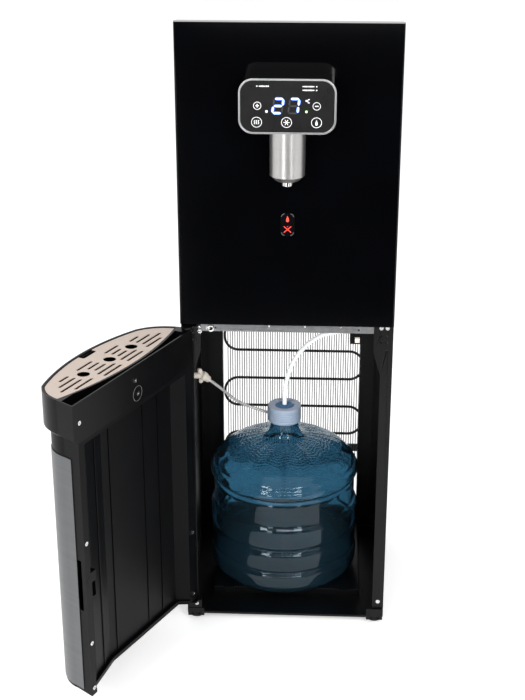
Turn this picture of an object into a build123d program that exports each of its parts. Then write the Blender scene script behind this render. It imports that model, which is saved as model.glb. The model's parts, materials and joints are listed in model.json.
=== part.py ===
"""Floor-standing bottom-loading water dispenser, modelled as an assembly of separate pieces.

Units are millimetres, +Z is up and +X is to the user's right, seen from the front.
The origin lies on the floor, under the middle of the cabinet.
The door is modelled standing open, with its shut position worked out from the same values.
"""

from build123d import *
import math
import os

os.makedirs("parts", exist_ok=True)

# ---------------------------------------------------------------- driving dimensions
WIDTH = 350.0  # cabinet, outside to outside
DEPTH = 340.0  # fascia face to rear face
HEIGHT = 1068.0  # floor to top cover
FOOT_HEIGHT = 13.0  # floor to underside of the cabinet
BAY_TOP = 578.0  # lower edge of the fascia, top of the bottle bay
SHEET = 1.2  # folded steel sheet
SETBACK = 15.0  # fascia face to the front flanges of the side panels
GAP = 0.5  # clearance round loose and moving pieces
TOP_COVER_DEPTH = 12.0

FLANGE_TOP = 32.0  # front flange of a side panel, wide part at the top of the bay
FLANGE_LOW = 20.0  # and narrow part below
FLANGE_TAPER = (485.0, 525.0)  # heights between which it narrows
REAR_FLANGE = 45.0

FASCIA_WALL = 3.0
DISPLAY_SIZE = (147.0, 84.0)
DISPLAY_Z = HEIGHT - 114.0
DISPLAY_DEPTH = 58.0  # fascia face to display face
DISPLAY_CORNER = 22.0
BEZEL = 3.0
LENS_THICKNESS = 2.0
SPOUT_RADIUS = 27.5
SPOUT_OUT = 30.0  # fascia face to the spout's axis
SPOUT_BOTTOM = HEIGHT - 227.0
NOZZLE_RADIUS = 8.5
NOZZLE_BORE = 4.0
NOZZLE_LENGTH = 9.0
INDICATOR_SIZE = (22.0, 39.0)
INDICATOR_Z = HEIGHT - 317.5

PLATFORM_TOP = 28.0
PLATFORM_HALF = 133.0
PLATFORM_FRONT = 80.0  # fascia face to the platform's front skirt
PLATFORM_BACK = 322.0

BOTTLE_RADIUS = 135.0
BOTTLE_WALL = 2.0
BOTTLE_X = -8.0
BOTTLE_IN = 178.0  # fascia face to the bottle's axis
BOTTLE_REST = 0.3  # air under the bottle
NECK_RADIUS = 26.0
SHOULDER_Z = 300.0
CAP_Z = 323.0
CAP_HEIGHT = 30.0
CAP_RADIUS = 30.0
CAP_WALL = 2.5
SEAL_RADIUS = 16.5
SEAL_THICKNESS = 3.0
DIP_RADIUS = 4.0
DIP_BORE = 2.6

SUPPLY_DIAMETER = 8.0
VENT_DIAMETER = 5.0

PIVOT_X = 11.0 - WIDTH / 2  # hinge axis of the door
PIVOT_IN = 0.0  # fascia face to the hinge axis
DOOR_OPEN = 115.5  # degrees from shut, as modelled
DOOR_TOP = 567.0
DOOR_BOTTOM = 52.0
DOOR_INNER = 5.0  # hinge axis to the door's inner face, towards the cabinet
HOUSING_BOTTOM = 502.0
HOUSING_WALL = 2.2
OVERHANG = 9.0  # housing beyond the lower door
SKIN = 1.2
SKIN_TOP = 470.0
SKIN_EDGE = -13.0  # where the skin stops at the door's free edge
LINER_WALL = 2.5
LINER_END = 7.0  # frame above and below the liner's recess
PIN_RADIUS = 3.0
PIN_CLEARANCE = 0.05
BUSH_WALL = 1.6
HINGE_PLATE = 3.0

BASIN_DEPTH = 38.0
BASIN_WALL = 1.4
GRILLE_THICKNESS = 1.5
GRILLE_INSET = 2.0  # basin rim left showing round the grille
SLOT_WIDTH = 4.6
DRAIN_HOLE_RADIUS = 10.0

CONDENSER_IN = 352.0  # fascia face to the condenser's tube axes
CONDENSER_TUBE = 5.0
CONDENSER_SPAN = (-128.0, 136.0)
CONDENSER_BOTTOM = 153.0
CONDENSER_PITCH = 58.0
CONDENSER_ROWS = 7
WIRE_DIAMETER = 1.6
WIRE_PITCH = 4.5

SCREW_RADIUS = 3.6
SCREW_HEAD = 2.2

# ---------------------------------------------------------------- derived places
FRONT = -DEPTH / 2
BACK = DEPTH / 2
FLANGE_Y = FRONT + SETBACK
SIDE_TOP = HEIGHT - TOP_COVER_DEPTH - GAP
INNER_HALF = WIDTH / 2 - SHEET
FLOOR_Z = FOOT_HEIGHT + SHEET
DECK_Z = BAY_TOP + 2.0
BOTTLE_Y = FRONT + BOTTLE_IN
BOTTLE_Z = PLATFORM_TOP + BOTTLE_REST
CAP_TOP = CAP_Z + CAP_HEIGHT
PIVOT_Y = FRONT + PIVOT_IN
RUNNING_RADIUS = PIN_RADIUS + PIN_CLEARANCE
TONGUE_Z = (DOOR_TOP + 4.0, DOOR_BOTTOM - 4.0 - HINGE_PLATE)  # undersides of the hinge tongues
HINGE_FOOT = TONGUE_Z[1] - 20.0
BARB_TOP = CAP_TOP + 0.5
VENT_TURN = math.radians(150.0)  # round the cap, from +X
VENT_Z = CAP_Z + 5.0
VENT_REACH = 8.0
ELBOW_REACH = 12.0
VENT_WAY = Vector(math.cos(VENT_TURN), math.sin(VENT_TURN), 0)
VENT_START = Vector(BOTTLE_X, BOTTLE_Y, VENT_Z) + VENT_WAY * (CAP_RADIUS - 1)
SUPPLY_POINTS = [  # white hose, from the cap up to the pump's elbow
    Vector(BOTTLE_X, BOTTLE_Y, BARB_TOP),
    Vector(BOTTLE_X, BOTTLE_Y, BARB_TOP + 32),
    Vector(0, FRONT + 164, 424),
    Vector(10, FRONT + 148, 456),
    Vector(26, FRONT + 127, 486),
    Vector(44, FRONT + 107, 511),
    Vector(64, FRONT + 93, 528),
    Vector(96, FRONT + 84, 536),
]
VENT_POINTS = [  # thin clear hose, from the elbow on the side wall to the cap's nipple
    Vector(-144, FRONT + 150, 413),
    Vector(-130, FRONT + 157, 399),
    Vector(-112, FRONT + 172, 376),
    Vector(-96, FRONT + 194, 350),
    VENT_START + VENT_WAY * (VENT_REACH + 31),
    VENT_START + VENT_WAY * (VENT_REACH + 1),
]


def leading_out(tip, before):
    """Unit vector along a hose where it ends, pointing out of it."""
    return (tip - before).normalized()


SUPPLY_WAY = leading_out(SUPPLY_POINTS[-1], SUPPLY_POINTS[-2])
SUPPLY_CORNER = SUPPLY_POINTS[-1] + SUPPLY_WAY * ELBOW_REACH

open_angle = math.radians(DOOR_OPEN)
DOOR_AXIS = Vector(math.cos(open_angle), -math.sin(open_angle), 0)  # hinge to free edge
DOOR_PLANE = Plane(origin=(PIVOT_X, PIVOT_Y, 0), x_dir=DOOR_AXIS, z_dir=(0, 0, 1))


def save(part, label):
    """Label a finished piece and write its STEP file."""
    part.label = label
    export_step(part, f"parts/{label}.step")


def block(x_span, y_span, z_span, mode=Mode.ADD):
    """A rectangular block between limits, in the open BuildPart."""
    spans = (x_span, y_span, z_span)
    middle = [(low + high) / 2 for low, high in spans]
    size = [high - low for low, high in spans]
    with Locations(tuple(middle)):
        Box(*size, mode=mode)


def door_level(height):
    """Horizontal plane on the open door: x runs to the free edge, -y faces outwards."""
    return DOOR_PLANE.offset(height)


def facing_front(depth_in, x=0.0, z=0.0):
    """Plane that faces the user, a given depth behind the fascia face."""
    return Plane(origin=(x, FRONT + depth_in, z), x_dir=(1, 0, 0), z_dir=(0, -1, 0))


def facing_inside(along, out, height):
    """Plane on the open door's inner side, facing the cabinet when shut."""
    origin = DOOR_PLANE.from_local_coords(Vector(along, out, height))
    inward = DOOR_PLANE.y_dir
    return Plane(origin=origin, x_dir=DOOR_AXIS, z_dir=inward)


def tube_along(points, radius, radii=None):
    """A round bar along straight runs joined by tangent arcs, in the open BuildPart."""
    points = [Vector(*point) for point in points]
    with BuildLine() as route:
        if len(points) == 2:
            Line(*points)
        else:
            FilletPolyline(*points, radius=radii or bend_radii(points))
    with BuildSketch(Plane(origin=points[0], z_dir=points[1] - points[0])) as section:
        Circle(radius)
    sweep(section.sketch, path=route.wires()[0])


def bend_radii(points, share=0.45):
    """The largest arc that each corner's two runs allow."""
    radii = []
    for before, corner, after in zip(points, points[1:], points[2:]):
        run_in = corner - before
        run_out = after - corner
        half_turn = math.radians(run_in.get_angle(run_out)) / 2
        radii.append(share * min(run_in.length, run_out.length) / math.tan(half_turn))
    return radii


def screw_at(plane, radius=SCREW_RADIUS, head=SCREW_HEAD):
    """Domed cross-recess screw head standing on a plane, in the open BuildPart."""
    with BuildSketch(plane) as disc:
        Circle(radius)
    extrude(disc.sketch, amount=head)
    with BuildSketch(plane.offset(head)) as cross:
        Rectangle(radius * 1.1, radius * 0.28)
        Rectangle(radius * 0.28, radius * 1.1)
    extrude(cross.sketch, amount=-head / 2, mode=Mode.SUBTRACT)


# ---------------------------------------------------------------- cabinet structure
def flange_outline(side):
    """Front flange of a side panel: wide at the top, narrowing below the crossbar."""
    outer = side * WIDTH / 2
    wide = outer - side * FLANGE_TOP
    narrow = outer - side * FLANGE_LOW
    low, high = FLANGE_TAPER
    return [
        (outer, FOOT_HEIGHT),
        (outer, SIDE_TOP),
        (wide, SIDE_TOP),
        (wide, high),
        (narrow, low),
        (narrow, FOOT_HEIGHT),
    ]


FLANGE_HOLES = [
    (-10.0, 571.0), (-20.0, 556.0), (-10.0, 556.0), (-20.0, 544.0), (-10.0, 544.0), (-11.0, 531.0),
]  # fmt: skip
FLANGE_HOLE_RADIUS = 1.6


def make_side_panel(side, label):
    """Folded steel side: wall, rear flange and tapered front flange in one sheet."""
    outer = side * WIDTH / 2
    with BuildPart() as panel:
        wall = sorted((outer, outer - side * SHEET))
        block(wall, (FLANGE_Y, BACK), (FOOT_HEIGHT, SIDE_TOP))
        rear = sorted((outer, outer - side * REAR_FLANGE))
        block(rear, (BACK - SHEET, BACK), (FOOT_HEIGHT, SIDE_TOP))
        with BuildSketch(facing_front(SETBACK)):
            Polygon(*flange_outline(side), align=None)
            with Locations(*[(outer + side * x, z) for x, z in FLANGE_HOLES]):
                Circle(FLANGE_HOLE_RADIUS, mode=Mode.SUBTRACT)
        extrude(amount=-SHEET)
    save(panel.part, label)


make_side_panel(-1, "side_panel_left")
make_side_panel(1, "side_panel_right")

LIP_DROP = 3.0
PAN_WALL = 24.0
PAN_FRONT = FLANGE_Y + SHEET + GAP
PAN_BACK = BACK - SHEET - GAP
PAN_HALF = INNER_HALF - GAP

with BuildPart() as base_pan:
    block((-PAN_HALF, PAN_HALF), (PAN_FRONT, PAN_BACK), (FOOT_HEIGHT, FLOOR_Z))
    block((-PAN_HALF, PAN_HALF), (PAN_FRONT, PAN_FRONT + SHEET), (FOOT_HEIGHT - LIP_DROP, FLOOR_Z))
    for side in (-1, 1):
        edge = sorted((side * PAN_HALF, side * (PAN_HALF - SHEET)))
        block(edge, (PAN_FRONT, PAN_BACK), (FOOT_HEIGHT, FOOT_HEIGHT + PAN_WALL))
    block((-PAN_HALF, PAN_HALF), (PAN_BACK - SHEET, PAN_BACK), (FOOT_HEIGHT, FOOT_HEIGHT + PAN_WALL))
save(base_pan.part, "base_pan")

TAB_WIDTH = 20.0
TAB_X = 95.0
TAB_PROUD = 3.0

with BuildPart() as bottle_platform:
    front = FRONT + PLATFORM_FRONT
    back = FRONT + PLATFORM_BACK
    block((-PLATFORM_HALF, PLATFORM_HALF), (front, back), (PLATFORM_TOP - SHEET, PLATFORM_TOP))
    block((-PLATFORM_HALF, PLATFORM_HALF), (front, front + SHEET), (FLOOR_Z, PLATFORM_TOP))
    block((-PLATFORM_HALF, PLATFORM_HALF), (back - SHEET, back), (FLOOR_Z, PLATFORM_TOP))
    for side in (-1, 1):
        skirt = sorted((side * PLATFORM_HALF, side * (PLATFORM_HALF - SHEET)))
        block(skirt, (front, back), (FLOOR_Z, PLATFORM_TOP))
        tab = sorted((side * TAB_X, side * (TAB_X + TAB_WIDTH)))
        block(tab, (front - TAB_PROUD, front), (FLOOR_Z, PLATFORM_TOP))
save(bottle_platform.part, "bottle_platform")

CROSSBAR_HALF = WIDTH / 2 - FLANGE_TOP - GAP
CROSSBAR_Z = (560.0, DECK_Z)
CROSSBAR_LEG = 22.0

with BuildPart() as front_crossbar:
    low, high = CROSSBAR_Z
    block((-CROSSBAR_HALF, CROSSBAR_HALF), (FLANGE_Y, FLANGE_Y + SHEET), (low, high))
    block((-CROSSBAR_HALF, CROSSBAR_HALF), (FLANGE_Y, FLANGE_Y + CROSSBAR_LEG), (high - SHEET, high))
    block((-CROSSBAR_HALF, CROSSBAR_HALF), (FLANGE_Y, FLANGE_Y + CROSSBAR_LEG / 2), (low, low + SHEET))
    with BuildSketch(facing_front(SETBACK)):
        with Locations((-118, 566), (118, 566), (-30, 570), (30, 570)):
            Circle(FLANGE_HOLE_RADIUS)
    extrude(amount=-SHEET, mode=Mode.SUBTRACT)
    # end brackets folded back against the side walls
    for side in (-1, 1):
        reach = side * (INNER_HALF - 6)
        plate = sorted((side * (CROSSBAR_HALF - 12), reach))
        behind = FLANGE_Y + SHEET + GAP
        block(plate, (behind, behind + SHEET), (low + 2, high - SHEET))
        fold = sorted((reach, reach - side * SHEET))
        block(fold, (behind, behind + 18), (low + 2, high - SHEET))
        spacer = sorted((side * (CROSSBAR_HALF - 10), side * (CROSSBAR_HALF - 4)))
        block(spacer, (FLANGE_Y, behind + SHEET), (low + 4, high - 8))
save(front_crossbar.part, "front_crossbar")

DECK_HALF = INNER_HALF - GAP
HOSE_EXIT = (SUPPLY_CORNER.X, SUPPLY_CORNER.Y)
LINE_EXIT = (-112.0, FRONT + 318.0)
FRONT_CLEAR = FLANGE_Y + SHEET + 2 * GAP + SHEET

with BuildPart() as mid_deck:
    block((-DECK_HALF, DECK_HALF), (FRONT_CLEAR, PAN_BACK), (DECK_Z, DECK_Z + SHEET))
    for side in (-1, 1):
        edge = sorted((side * DECK_HALF, side * (DECK_HALF - SHEET)))
        block(edge, (FRONT_CLEAR, PAN_BACK), (DECK_Z, DECK_Z + 18))
    block((-DECK_HALF, DECK_HALF), (PAN_BACK - SHEET, PAN_BACK), (DECK_Z, DECK_Z + 18))
    with BuildSketch(Plane.XY.offset(DECK_Z)):
        with Locations(HOSE_EXIT):
            Circle(9)
        with Locations(LINE_EXIT):
            SlotOverall(60, 14)
    extrude(amount=SHEET, mode=Mode.SUBTRACT)
save(mid_deck.part, "mid_deck")

POST_INNER = WIDTH / 2 - REAR_FLANGE
POST_OUTER = WIDTH / 2 - 18
POST_DEPTH = 16.0
BRACE_TOP = 60.0

with BuildPart() as rear_frame:
    for side in (-1, 1):
        face = sorted((side * POST_INNER, side * POST_OUTER))
        rear = BACK - SHEET - GAP
        block(face, (rear - POST_DEPTH, rear - POST_DEPTH + SHEET), (FLOOR_Z + PAN_WALL, DECK_Z - GAP))
        for x in (POST_INNER, POST_OUTER - SHEET):
            leg = sorted((side * x, side * (x + SHEET)))
            block(leg, (rear - POST_DEPTH, rear), (FLOOR_Z + PAN_WALL, DECK_Z - GAP))
    # brace across the foot of the bay
    half = POST_INNER - GAP
    block((-half, half), (BACK - SHEET, BACK), (FOOT_HEIGHT, BRACE_TOP))
    block((-half, half), (BACK - 10, BACK - SHEET), (BRACE_TOP - SHEET, BRACE_TOP))
save(rear_frame.part, "rear_frame")

FIT = 0.3  # slack round a part set through a panel
ROCKER_X = -70.0
ROCKER_ZS = {"heat": DECK_Z + 70, "cool": DECK_Z + 115}
ROCKER_BODY = (27.0, 19.0)
INLET_PLACE = (20.0, DECK_Z + 85)
INLET_BODY = (44.0, 29.0)
DRAIN_X = 85.0
DRAIN_Z = DECK_Z + 70
DRAIN_RADIUS = 9.0
DRAIN_BORE = 6.0
DRAIN_REACH = 20.0
LOUVRE_COUNT = 12
LOUVRE_PITCH = 16.0
LOUVRE_LENGTH = 200.0

with BuildPart() as rear_panel:
    half = POST_INNER - GAP
    block((-half, half), (BACK - SHEET, BACK), (BAY_TOP + 20, SIDE_TOP))
    with BuildSketch(facing_front(DEPTH)):
        with Locations((0, HEIGHT - 168)):
            with GridLocations(0, LOUVRE_PITCH, 1, LOUVRE_COUNT):
                SlotOverall(LOUVRE_LENGTH, 5)
        with Locations(*[(ROCKER_X, height) for height in ROCKER_ZS.values()]):
            Rectangle(ROCKER_BODY[0] + 2 * FIT, ROCKER_BODY[1] + 2 * FIT)
        with Locations((INLET_PLACE[0], INLET_PLACE[1])):
            Rectangle(INLET_BODY[0] + 2 * FIT, INLET_BODY[1] + 2 * FIT)
        with Locations((DRAIN_X, DRAIN_Z)):
            Circle(DRAIN_RADIUS + FIT)
    extrude(amount=SHEET, mode=Mode.SUBTRACT, both=True)
save(rear_panel.part, "rear_panel")

with BuildPart() as top_cover:
    block((-WIDTH / 2, WIDTH / 2), (FLANGE_Y, BACK), (HEIGHT - TOP_COVER_DEPTH, HEIGHT))
    fillet(top_cover.edges().group_by(Axis.Z)[-1].sort_by(Axis.Y)[1:], radius=3)
    inside = WIDTH / 2 - 2.5
    hollow = (HEIGHT - TOP_COVER_DEPTH, HEIGHT - 3)
    block((-inside, inside), (FLANGE_Y + 2.5, BACK - 2.5), hollow, Mode.SUBTRACT)
save(top_cover.part, "top_cover")

FOOT_INSET = 15.0
FOOT_RADIUS = 13.0
FOOT_PAD = 6.0
STUD_RADIUS = 4.0
FOOT_PLACES = [
    (side * (WIDTH / 2 - FOOT_INSET), y)
    for side in (-1, 1)
    for y in (FRONT + 33, BACK - 25)
]

with BuildPart() as levelling_feet:
    with BuildSketch():
        with Locations(*FOOT_PLACES):
            Circle(FOOT_RADIUS)
    extrude(amount=FOOT_PAD)
    fillet(levelling_feet.edges().group_by(Axis.Z)[0], radius=1.5)
    with BuildSketch(Plane.XY.offset(FOOT_PAD)):
        with Locations(*FOOT_PLACES):
            Circle(STUD_RADIUS)
    extrude(amount=FOOT_HEIGHT - FOOT_PAD)
save(levelling_feet.part, "levelling_feet")

BRACKET_HEIGHT = 22.0

with BuildPart() as foot_brackets:
    for side in (-1, 1):
        span = sorted((side * (WIDTH / 2 - 1), side * (WIDTH / 2 - 30)))
        top = FOOT_HEIGHT + BRACKET_HEIGHT - 4 if side > 0 else HINGE_FOOT - GAP
        block(span, (FLANGE_Y - 4, FLANGE_Y), (FOOT_HEIGHT - 4, top))
        with BuildSketch(facing_front(SETBACK - 4, side * (WIDTH / 2 - 15), FOOT_HEIGHT)):
            with Locations((-6, 0), (6, 0)):
                Circle(1.6)
        extrude(amount=-4, mode=Mode.SUBTRACT)
save(foot_brackets.part, "foot_brackets")

# ---------------------------------------------------------------- fascia, display and spout
with BuildPart() as front_fascia:
    block((-WIDTH / 2, WIDTH / 2), (FRONT, FLANGE_Y - GAP / 2), (BAY_TOP, HEIGHT))
    fillet(front_fascia.edges().filter_by(Axis.Z).sort_by(Axis.Y)[:2], radius=2.5)
    inside = WIDTH / 2 - FASCIA_WALL
    hollow = (BAY_TOP + FASCIA_WALL, HEIGHT - FASCIA_WALL)
    block((-inside, inside), (FRONT + FASCIA_WALL, FLANGE_Y), hollow, Mode.SUBTRACT)
    with BuildSketch(facing_front(0, 0, DISPLAY_Z)):
        RectangleRounded(110, 56, 8)
    extrude(amount=-FASCIA_WALL, mode=Mode.SUBTRACT)
    with BuildSketch(facing_front(0, 0, SPOUT_BOTTOM + 34)):
        Circle(12)
    extrude(amount=-FASCIA_WALL, mode=Mode.SUBTRACT)
    with BuildSketch(facing_front(0, 0, INDICATOR_Z)):
        RectangleRounded(INDICATOR_SIZE[0], INDICATOR_SIZE[1], 6)
    extrude(amount=-FASCIA_WALL, mode=Mode.SUBTRACT)
save(front_fascia.part, "front_fascia")

with BuildPart() as indicator_window:
    with BuildSketch(facing_front(0.4, 0, INDICATOR_Z)):
        RectangleRounded(INDICATOR_SIZE[0] - 0.4, INDICATOR_SIZE[1] - 0.4, 5.8)
    extrude(amount=-2.2)
save(indicator_window.part, "indicator_window")

with BuildPart() as display_housing:
    with BuildSketch(facing_front(0, 0, DISPLAY_Z)):
        RectangleRounded(*DISPLAY_SIZE, DISPLAY_CORNER)
    extrude(amount=DISPLAY_DEPTH)
    with BuildSketch(facing_front(-DISPLAY_DEPTH, 0, DISPLAY_Z)):
        RectangleRounded(DISPLAY_SIZE[0] - 2 * BEZEL, DISPLAY_SIZE[1] - 2 * BEZEL, DISPLAY_CORNER - BEZEL)
    extrude(amount=-LENS_THICKNESS - 1, mode=Mode.SUBTRACT)
    with BuildSketch(facing_front(0, 0, DISPLAY_Z)):
        RectangleRounded(DISPLAY_SIZE[0] - 6 * BEZEL, DISPLAY_SIZE[1] - 6 * BEZEL, DISPLAY_CORNER / 2)
    extrude(amount=DISPLAY_DEPTH, mode=Mode.SUBTRACT)
save(display_housing.part, "display_housing")

with BuildPart() as display_bezel:
    with BuildSketch(facing_front(-DISPLAY_DEPTH, 0, DISPLAY_Z)):
        RectangleRounded(*DISPLAY_SIZE, DISPLAY_CORNER)
        wide, tall = (side - 2 * BEZEL for side in DISPLAY_SIZE)
        RectangleRounded(wide, tall, DISPLAY_CORNER - BEZEL, mode=Mode.SUBTRACT)
    extrude(amount=1.5)
    fillet(display_bezel.edges().group_by(Axis.Y)[0], radius=0.7)
save(display_bezel.part, "display_bezel")

with BuildPart() as display_lens:
    margin = 2 * BEZEL + 2 * GAP / 2
    with BuildSketch(facing_front(-DISPLAY_DEPTH + 1, 0, DISPLAY_Z)):
        RectangleRounded(DISPLAY_SIZE[0] - margin, DISPLAY_SIZE[1] - margin, DISPLAY_CORNER - margin / 2)
    extrude(amount=LENS_THICKNESS - 1 + GAP, both=False)
save(display_lens.part, "display_lens")

with BuildPart() as display_board:
    face = FRONT - DISPLAY_DEPTH
    block((-60, 60), (face + 8, face + 9.6), (DISPLAY_Z - 30, DISPLAY_Z + 30))
    block((-28, 28), (face + 3.5, face + 8), (DISPLAY_Z - 6, DISPLAY_Z + 18))
save(display_board.part, "display_board")

SPOUT_TOP = DISPLAY_Z - DISPLAY_SIZE[1] / 2

with BuildPart() as spout_body:
    with BuildSketch(Plane(origin=(0, FRONT - SPOUT_OUT, SPOUT_BOTTOM))):
        Circle(SPOUT_RADIUS - 0.5)
    extrude(amount=SPOUT_TOP - SPOUT_BOTTOM, taper=-0.4)
    with BuildSketch(Plane(origin=(0, FRONT - SPOUT_OUT, SPOUT_BOTTOM))):
        Circle(SPOUT_RADIUS - 0.5)
    extrude(amount=-8, taper=48)
    with BuildSketch(facing_front(-SPOUT_OUT, 0, SPOUT_BOTTOM + 34)):
        Circle(11.5)
    extrude(amount=-SPOUT_OUT - 8)
    with BuildSketch(Plane(origin=(0, FRONT - SPOUT_OUT, SPOUT_BOTTOM - 8))):
        Circle(6)
    extrude(amount=42, mode=Mode.SUBTRACT)
    with BuildSketch(facing_front(-SPOUT_OUT, 0, SPOUT_BOTTOM + 28)):
        Circle(5)
    extrude(amount=-SPOUT_OUT - 8, mode=Mode.SUBTRACT)
save(spout_body.part, "spout_body")

with BuildPart() as spout_nozzle:
    with BuildSketch(Plane(origin=(0, FRONT - SPOUT_OUT, SPOUT_BOTTOM - 8))):
        Circle(NOZZLE_RADIUS)
        Circle(NOZZLE_BORE, mode=Mode.SUBTRACT)
    extrude(amount=-NOZZLE_LENGTH)
    fillet(spout_nozzle.edges().group_by(Axis.Z)[0], radius=0.8)
    with BuildSketch(Plane(origin=(0, FRONT - SPOUT_OUT, SPOUT_BOTTOM - 8))):
        Circle(6)
        Circle(NOZZLE_BORE, mode=Mode.SUBTRACT)
    extrude(amount=14)
save(spout_nozzle.part, "spout_nozzle")

# ---------------------------------------------------------------- cold, hot and pumping parts
GROMMET_HEIGHT = 8.0
COMPRESSOR_PLACE = (-70.0, FRONT + 245.0)
COMPRESSOR_RADIUS = 66.0
COMPRESSOR_HEIGHT = 150.0
COMPRESSOR_BASE = DECK_Z + SHEET + GROMMET_HEIGHT
COMPRESSOR_FEET = (116.0, 96.0)

with BuildPart() as compressor:
    with BuildSketch(Plane.XY.offset(DECK_Z + SHEET)):
        with Locations(COMPRESSOR_PLACE):
            with GridLocations(*COMPRESSOR_FEET, 2, 2):
                Circle(8)
    extrude(amount=GROMMET_HEIGHT)
    with BuildSketch(Plane.XY.offset(COMPRESSOR_BASE)):
        with Locations(COMPRESSOR_PLACE):
            RectangleRounded(COMPRESSOR_FEET[0] + 22, COMPRESSOR_FEET[1] + 22, 9)
    extrude(amount=3)
    with BuildSketch(Plane.XY.offset(COMPRESSOR_BASE + 3)):
        with Locations(COMPRESSOR_PLACE):
            Circle(COMPRESSOR_RADIUS)
    extrude(amount=COMPRESSOR_HEIGHT)
    fillet(compressor.edges().group_by(Axis.Z)[-1], radius=26)
save(compressor.part, "compressor")

TANK_PLACE = (82.0, FRONT + 238.0)
TANK_RADIUS = 58.0
TANK_Z = (HEIGHT - 356, HEIGHT - 166)
EVAPORATOR_TUBE = 3.5
FOAM_WALL = 12.0


def make_tank(label, place, radius, z_span, wall, corner):
    """Closed drawn tank with rounded ends and a real wall."""
    low, high = z_span
    with BuildPart(mode=Mode.PRIVATE) as cavity:
        with BuildSketch(Plane.XY.offset(low + wall)):
            with Locations(place):
                Circle(radius - wall)
        extrude(amount=high - low - 2 * wall)
        ends = cavity.edges().group_by(Axis.Z)
        fillet(ends[-1] + ends[0], radius=corner - wall)
    with BuildPart() as tank:
        with BuildSketch(Plane.XY.offset(low)):
            with Locations(place):
                Circle(radius)
        extrude(amount=high - low)
        ends = tank.edges().group_by(Axis.Z)
        fillet(ends[-1] + ends[0], radius=corner)
        add(cavity.part, mode=Mode.SUBTRACT)
    save(tank.part, label)


make_tank("cold_tank", TANK_PLACE, TANK_RADIUS, TANK_Z, 1.5, 12.0)

EVAPORATOR_TURNS = 6
EVAPORATOR_PITCH = 14.0

with BuildPart() as evaporator_coil:
    ring_radius = TANK_RADIUS + EVAPORATOR_TUBE + 0.3
    with BuildLine() as winding:
        Helix(
            pitch=EVAPORATOR_PITCH,
            height=EVAPORATOR_TURNS * EVAPORATOR_PITCH,
            radius=ring_radius,
            center=(*TANK_PLACE, TANK_Z[0] + 34),
        )
    with BuildSketch(Plane(origin=winding.wires()[0] @ 0, z_dir=winding.wires()[0] % 0)):
        Circle(EVAPORATOR_TUBE)
    sweep(path=winding.wires()[0], is_frenet=True)
save(evaporator_coil.part, "evaporator_coil")

with BuildPart() as cold_tank_foam:
    hollow = TANK_RADIUS + 2 * EVAPORATOR_TUBE + 2
    with BuildSketch(Plane.XY.offset(TANK_Z[0] - FOAM_WALL)):
        with Locations(TANK_PLACE):
            RectangleRounded(2 * (hollow + FOAM_WALL), 2 * (hollow + FOAM_WALL), 14)
            Circle(hollow, mode=Mode.SUBTRACT)
    extrude(amount=TANK_Z[1] - TANK_Z[0] + FOAM_WALL)
    with BuildSketch(Plane.XY.offset(TANK_Z[0] - FOAM_WALL)):
        with Locations(TANK_PLACE):
            Circle(hollow)
    extrude(amount=FOAM_WALL - GAP)
save(cold_tank_foam.part, "cold_tank_foam")

TRAY_Z = TANK_Z[0] - FOAM_WALL
HOT_PLACE = (-85.0, FRONT + 238.0)
HOT_RADIUS = 44.0
HOT_Z = (HEIGHT - 268, HEIGHT - 143)

make_tank("hot_tank", HOT_PLACE, HOT_RADIUS, HOT_Z, 1.5, 14.0)

with BuildPart() as heater_band:
    with BuildSketch(Plane.XY.offset(HOT_Z[0] + 30)):
        with Locations(HOT_PLACE):
            Circle(HOT_RADIUS + 5)
            Circle(HOT_RADIUS + 0.2, mode=Mode.SUBTRACT)
    extrude(amount=50)
    x, y = HOT_PLACE
    block((x - 9, x + 9), (y - HOT_RADIUS - 14, y - HOT_RADIUS - 4.6), (HOT_Z[0] + 42, HOT_Z[0] + 66))
save(heater_band.part, "heater_band")

PUMP_PLACE = (HOSE_EXIT[0], HOSE_EXIT[1], DECK_Z + SHEET + 46.0)
PUMP_RADIUS = 22.0

with BuildPart() as water_pump:
    pump_end = Plane(origin=(PUMP_PLACE[0] + 36, PUMP_PLACE[1], PUMP_PLACE[2]), z_dir=(-1, 0, 0))
    with BuildSketch(pump_end):
        Circle(PUMP_RADIUS)
    extrude(amount=62)
    with BuildSketch(pump_end.offset(62)):
        Circle(PUMP_RADIUS - 5)
    extrude(amount=34)
    with BuildSketch(Plane(origin=(PUMP_PLACE[0], PUMP_PLACE[1], PUMP_PLACE[2]))):
        Circle(6)
    extrude(amount=PUMP_RADIUS + 14)
    with BuildSketch(Plane(origin=(PUMP_PLACE[0], PUMP_PLACE[1], PUMP_PLACE[2] - PUMP_RADIUS - 8))):
        Circle(6)
    extrude(amount=14)
save(water_pump.part, "water_pump")

with BuildPart() as inner_brackets:
    # shelf under the cold tank
    block((0, DECK_HALF), (FRONT + 140, PAN_BACK), (TRAY_Z - SHEET, TRAY_Z))
    block((0, SHEET), (FRONT + 140, PAN_BACK), (TRAY_Z - 20, TRAY_Z - SHEET))
    block((0, DECK_HALF), (FRONT + 140, FRONT + 140 + SHEET), (TRAY_Z - 20, TRAY_Z - SHEET))
    # arm under the hot tank
    x, y = HOT_PLACE
    block((-DECK_HALF, x + HOT_RADIUS), (y - 20, y + 20), (HOT_Z[0] - SHEET, HOT_Z[0]))
    block((-DECK_HALF, -DECK_HALF + SHEET), (y - 20, y + 20), (HOT_Z[0] - 40, HOT_Z[0] - SHEET))
    # two plates round the pump
    x, y, z = PUMP_PLACE
    for along in (-28, 26):
        with BuildSketch(Plane(origin=(x + along, y, 0), x_dir=(0, 1, 0), z_dir=(1, 0, 0))):
            with Locations((0, (DECK_Z + SHEET + z - 26) / 2)):
                Rectangle(38, z - 26 - DECK_Z - SHEET)
            with Locations((0, z)):
                Rectangle(56, 54)
                Circle(PUMP_RADIUS + 0.2, mode=Mode.SUBTRACT)
        extrude(amount=2)
save(inner_brackets.part, "inner_brackets")

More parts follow.
